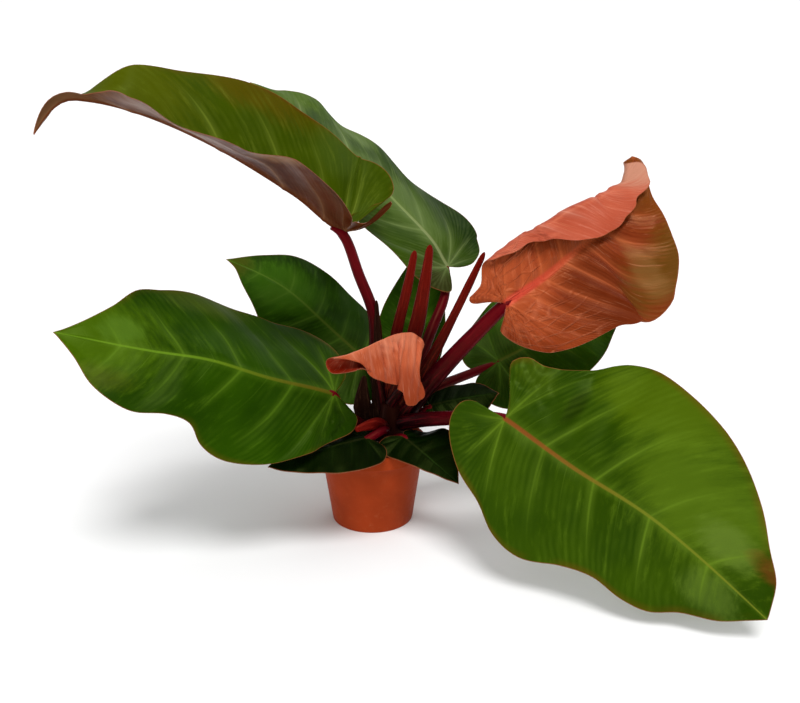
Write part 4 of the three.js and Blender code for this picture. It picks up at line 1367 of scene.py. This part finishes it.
class PLANT_OT_soil(Operator):
    """Builds the domed soil with peat crumbs, bark chips and perlite"""

    bl_idname = "plant.build_soil"
    bl_label = "Soil"
    rings = 40
    segments = 120
    dome = 3 * MM
    sag = 1.2 * MM
    wall_gap = 0.2 * MM

    def execute(self, context):
        pot, soil = context.scene.plant_pot, context.scene.plant_soil
        low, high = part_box("soil")
        top_radius = 0.5 * (high.x - low.x) - self.wall_gap
        edge_height = high.z - self.dome

        def height(x, y):
            share = math.hypot(x, y) / top_radius
            broad, small = (
                wrinkles(np.array(x / MM), np.array(y / MM), size, seed)
                for size, seed in ((17, 5), (5, 9))
            )
            rise = self.dome * (1 - share**2) - self.sag
            return edge_height + rise + (0.45 * broad + 0.25 * small) * MM * (1 - 0.6 * share)

        mound = bmesh.new()
        middle = mound.verts.new((0, 0, height(0, 0)))
        shares = np.linspace(0, 1, self.rings + 1)[1:]
        rings = [ring(mound, share * top_radius, height, self.segments) for share in shares]
        foot = ring(mound, pot.foot_radius - 2 * pot.wall, lambda x, y: low.z, self.segments)
        base = mound.verts.new((0, 0, low.z))
        hidden = []
        for k in range(self.segments):
            n = (k + 1) % self.segments
            mound.faces.new((middle, rings[0][k], rings[0][n]))
            for inner, outer in zip(rings, rings[1:]):
                mound.faces.new((inner[k], outer[k], outer[n], inner[n]))
            hidden.append(mound.faces.new((rings[-1][k], foot[k], foot[n], rings[-1][n])))
            hidden.append(mound.faces.new((foot[k], base, foot[n])))
        bmesh.ops.recalc_face_normals(mound, faces=mound.faces)
        mesh = mesh_from(mound, "soil_mound")
        bmesh.ops.delete(mound, geom=hidden, context="FACES")
        top = mesh_from(mound, "soil_top")
        mound.free()
        mesh.shade_smooth()
        mesh.materials.append(soil_material())
        add_object("soil_mound", mesh, "soil", "soil")

        grains = scatter_tree().apply("soil_grains", top, {
            "Crumbs": soil.crumbs,
            "Chips": soil.chips,
            "Grains": soil.grains,
            "Seed": soil.seed,
            "Crumbs skin": grain_material("peat_crumb", (24, 15, 10), (74, 48, 32), 300.0, 0.95),
            "Chips skin": grain_material("bark_chip", (52, 30, 18), (110, 72, 46), 220.0, 0.8),
            "Grains skin": grain_material(
                "perlite_grain", (196, 192, 180), (236, 234, 226), 400.0, 0.9,
            ),
        })
        add_object("soil_grains", grains, None, "soil")
        return {"FINISHED"}


class PLANT_OT_blades(Operator):
    """Builds the leaf blades with their veins, quilting and margins"""

    bl_idname = "plant.build_blades"
    bl_label = "Leaf blades"
    slots = {
        "dark": "leaf_dark", "shade": "leaf_dark",
        "young": "leaf_young", "young_under": "leaf_young",
    }
    large_length = 150

    def execute(self, context):
        settings = context.scene.plant_leaf
        margin_color = tuple(settings.margin_color)
        edge = margin_material(margin_color)
        skins = {}
        for name, traits in LEAVES.items():
            tone = traits["tone"]
            if tone not in skins:
                faces = ("upper", "under")
                skins[tone] = [blade_material(tone, face, margin_color) for face in faces]
            large = SURFACES[name].length > self.large_length
            columns, rows = (14, 44) if large else (10, 28)
            mesh = blade_mesh(name, settings, settings.veins * columns, rows)
            for material in (*skins[tone], edge):
                mesh.materials.append(material)
            add_object(f"leaf_{name}", mesh, f"blade_{name}", self.slots.get(tone, "leaf_mature"))
        return {"FINISHED"}


class PLANT_OT_petioles(Operator):
    """Builds the crimson leaf stalks and the short stem"""

    bl_idname = "plant.build_petioles"
    bl_label = "Leaf stalks"
    # The end of a stalk runs on under the midrib: how far along and how far below, in end radii.
    runs = np.array([0.1, 2.6])
    drops = np.array([1.0, 0.75])

    def execute(self, context):
        stalk = context.scene.plant_stalk
        # The maroon toward a stalk's base is partly painted shade of the crown.
        colors = (stalk.maroon, stalk.crimson, srgb(112, 6, 24))
        skin = stalk_material("stalk_skin", colors, 0.34)
        tree = rod_tree()
        for name, (points, radii) in PETIOLES.items():
            spots, normals, _, _ = SURFACES[name].frame(self.runs * radii[-1])
            ends = spots - normals * (self.drops * radii[-1])[:, None]
            if name == "young_middle":
                ends = [points[-1]]
            path = [*points[:-1], *ends]
            lengths = lengths_along(path)
            ending = (lengths[-2:] / lengths[-1], (1.0, 0.4))
            thickness = [radii[0] * 1.1, *radii[1:]]
            line = path_mesh(path, thickness, stalk.steps, normals[0], 0.0, ending)
            values = {"Sides": stalk.sides, "Groove": 0.08, "Wrinkle": 0.05, "Skin": skin}
            mesh = tree.apply(f"stalk_{name}", line, values)
            add_object(f"stalk_{name}", mesh, f"petiole_{name}", "petiole")
        colors = (srgb(16, 3, 3), srgb(34, 5, 4), srgb(58, 24, 16))
        bark = stalk_material("stem_skin", colors, 0.6)
        line = path_mesh(*STEM, stalk.steps, (0, -1, 0))
        mesh = tree.apply("stem_core", line, {"Sides": 40, "Wrinkle": 0.35, "Skin": bark})
        add_object("stem_core", mesh, "stem", "stem")
        return {"FINISHED"}


class PLANT_OT_sheaths(Operator):
    """Builds the pointed red sheaths and the withered ones at the crown"""

    bl_idname = "plant.build_sheaths"
    bl_label = "Sheaths"

    def execute(self, context):
        stalk = context.scene.plant_stalk
        # The near-black base of a living sheath is partly painted shade of the crown.
        colors = (srgb(24, 0, 2), stalk.sheath_color, srgb(134, 34, 22))
        living = stalk_material("sheath_skin", colors, 0.34, 0.6, (0.12, 1.0))
        colors = (srgb(14, 4, 3), stalk.dry_color, srgb(70, 46, 32))
        dry = stalk_material("dry_sheath_skin", colors, 0.75, 0.6, (0.2, 1.0))
        tree = rod_tree()
        for name, (points, radii) in SHEATHS.items():
            if name.startswith("dry"):
                slot, skin, depth, groove, wrinkle = "dry_sheath", dry, 0.5, 0.6, 0.7
            else:
                slot, skin, depth, groove, wrinkle = "sheath", living, 0.72, 0.3, 0.1
            line = path_mesh(points, radii, stalk.steps, (0, -1, 0), 0.05)
            mesh = tree.apply(f"sheath_{name}", line, {
                "Sides": 36, "Depth": depth, "Keel": 0.18, "Groove": groove, "Wrinkle": wrinkle,
                "Skin": skin,
            })
            add_object(f"sheath_{name}_skin", mesh, f"sheath_{name}", slot)
        return {"FINISHED"}


class PLANT_OT_stage(Operator):
    """Builds the floor, the soft lights and the camera"""

    bl_idname = "plant.build_stage"
    bl_label = "Stage"
    floor_radius = 40.0
    horizon_strength = 1.05
    horizon = (0.05, 0.25)

    def light(self, name, toward, strength, spread):
        """A soft far light that shines from the given direction."""
        lamp = bpy.data.lights.new(name, "SUN")
        lamp.energy = strength
        lamp.angle = math.radians(spread)
        holder = linked(name, lamp)
        holder.location = AIM + Vector(toward) * 2
        holder.rotation_euler = Vector(toward).to_track_quat("Z", "Y").to_euler()

    def execute(self, context):
        stage = context.scene.plant_stage
        bpy.ops.mesh.primitive_circle_add(
            vertices=96, radius=self.floor_radius, fill_type="NGON",
        )
        floor = context.object
        floor.name = "floor"
        color = tuple(stage.floor_color)
        shader = Shader("floor_paint", color, 0.9, 0.1)
        cloud = shader.noise(shader.place(), 1.5)
        shader.paint(shader.ramp(cloud, 0.3, 0.7), [0.985 * c for c in color])
        grit = shader.noise(shader.place(), 300.0)
        floor.data.materials.append(shader.finish(None, grit, 0.0002, 0.1))

        self.light("key_light", (0.12, -0.42, 0.9), stage.key_strength, 26)
        self.light("side_light", (-0.6, -0.75, 0.4), stage.side_strength, 60)
        self.light("back_light", (0.4, 0.55, 0.75), stage.back_strength, 60)

        world = bpy.data.worlds.new("studio")
        context.scene.world = world
        world.use_nodes = True
        studio = NodeTree(world.node_tree)
        up = studio.split(studio.node("TexCoord").outputs["Generated"])[2]
        low, high = self.horizon
        levels = {0: up, 1: low, 2: high, 3: self.horizon_strength, 4: stage.sky_strength}
        fade = studio.node("MapRange", levels)
        sky = studio.tree.nodes["Background"].inputs
        studio.feed(sky["Strength"], fade.outputs[0])
        studio.feed(sky["Color"], (1, 1, 1, 1))
        context.scene.view_settings.view_transform = "Standard"

        camera = bpy.data.cameras.new("camera")
        camera.lens = stage.lens
        camera.sensor_width = 36.0
        camera.clip_end = 100.0
        eye = linked("camera", camera)
        back = Vector((0, -math.cos(stage.elevation), math.sin(stage.elevation)))
        eye.location = AIM + back * stage.distance
        eye.rotation_euler = (math.pi / 2 - stage.elevation, 0, 0)
        context.scene.camera = eye
        return {"FINISHED"}


OPERATORS = (
    PLANT_OT_pot, PLANT_OT_soil, PLANT_OT_petioles, PLANT_OT_sheaths, PLANT_OT_blades,
    PLANT_OT_stage,
)
SETTINGS = {
    "plant_pot": PlantPotProperties,
    "plant_soil": PlantSoilProperties,
    "plant_leaf": PlantLeafProperties,
    "plant_stalk": PlantStalkProperties,
    "plant_stage": PlantStageProperties,
}


class PLANT_PT_panel(Panel):
    """Lists the sizes and the pieces of the plant"""

    bl_idname = "PLANT_PT_panel"
    bl_label = "Potted philodendron"
    bl_space_type = "VIEW_3D"
    bl_region_type = "UI"
    bl_category = "Plant"

    def draw(self, context):
        for key, settings in SETTINGS.items():
            box = self.layout.box()
            for name in settings.__annotations__:
                box.prop(getattr(context.scene, key), name)
        for operator in OPERATORS:
            self.layout.operator(operator.bl_idname)


CLASSES = (*SETTINGS.values(), *OPERATORS, PLANT_PT_panel)


def register():
    for kind in CLASSES:
        bpy.utils.register_class(kind)
    for key, settings in SETTINGS.items():
        setattr(bpy.types.Scene, key, PointerProperty(type=settings))


def unregister():
    for key in SETTINGS:
        delattr(bpy.types.Scene, key)
    for kind in reversed(CLASSES):
        bpy.utils.unregister_class(kind)


def main():
    register()
    bpy.ops.plant.build_pot()
    bpy.ops.plant.build_soil()
    bpy.ops.plant.build_petioles()
    bpy.ops.plant.build_sheaths()
    bpy.ops.plant.build_blades()
    bpy.ops.plant.build_stage()


if __name__ == "__main__":
    main()
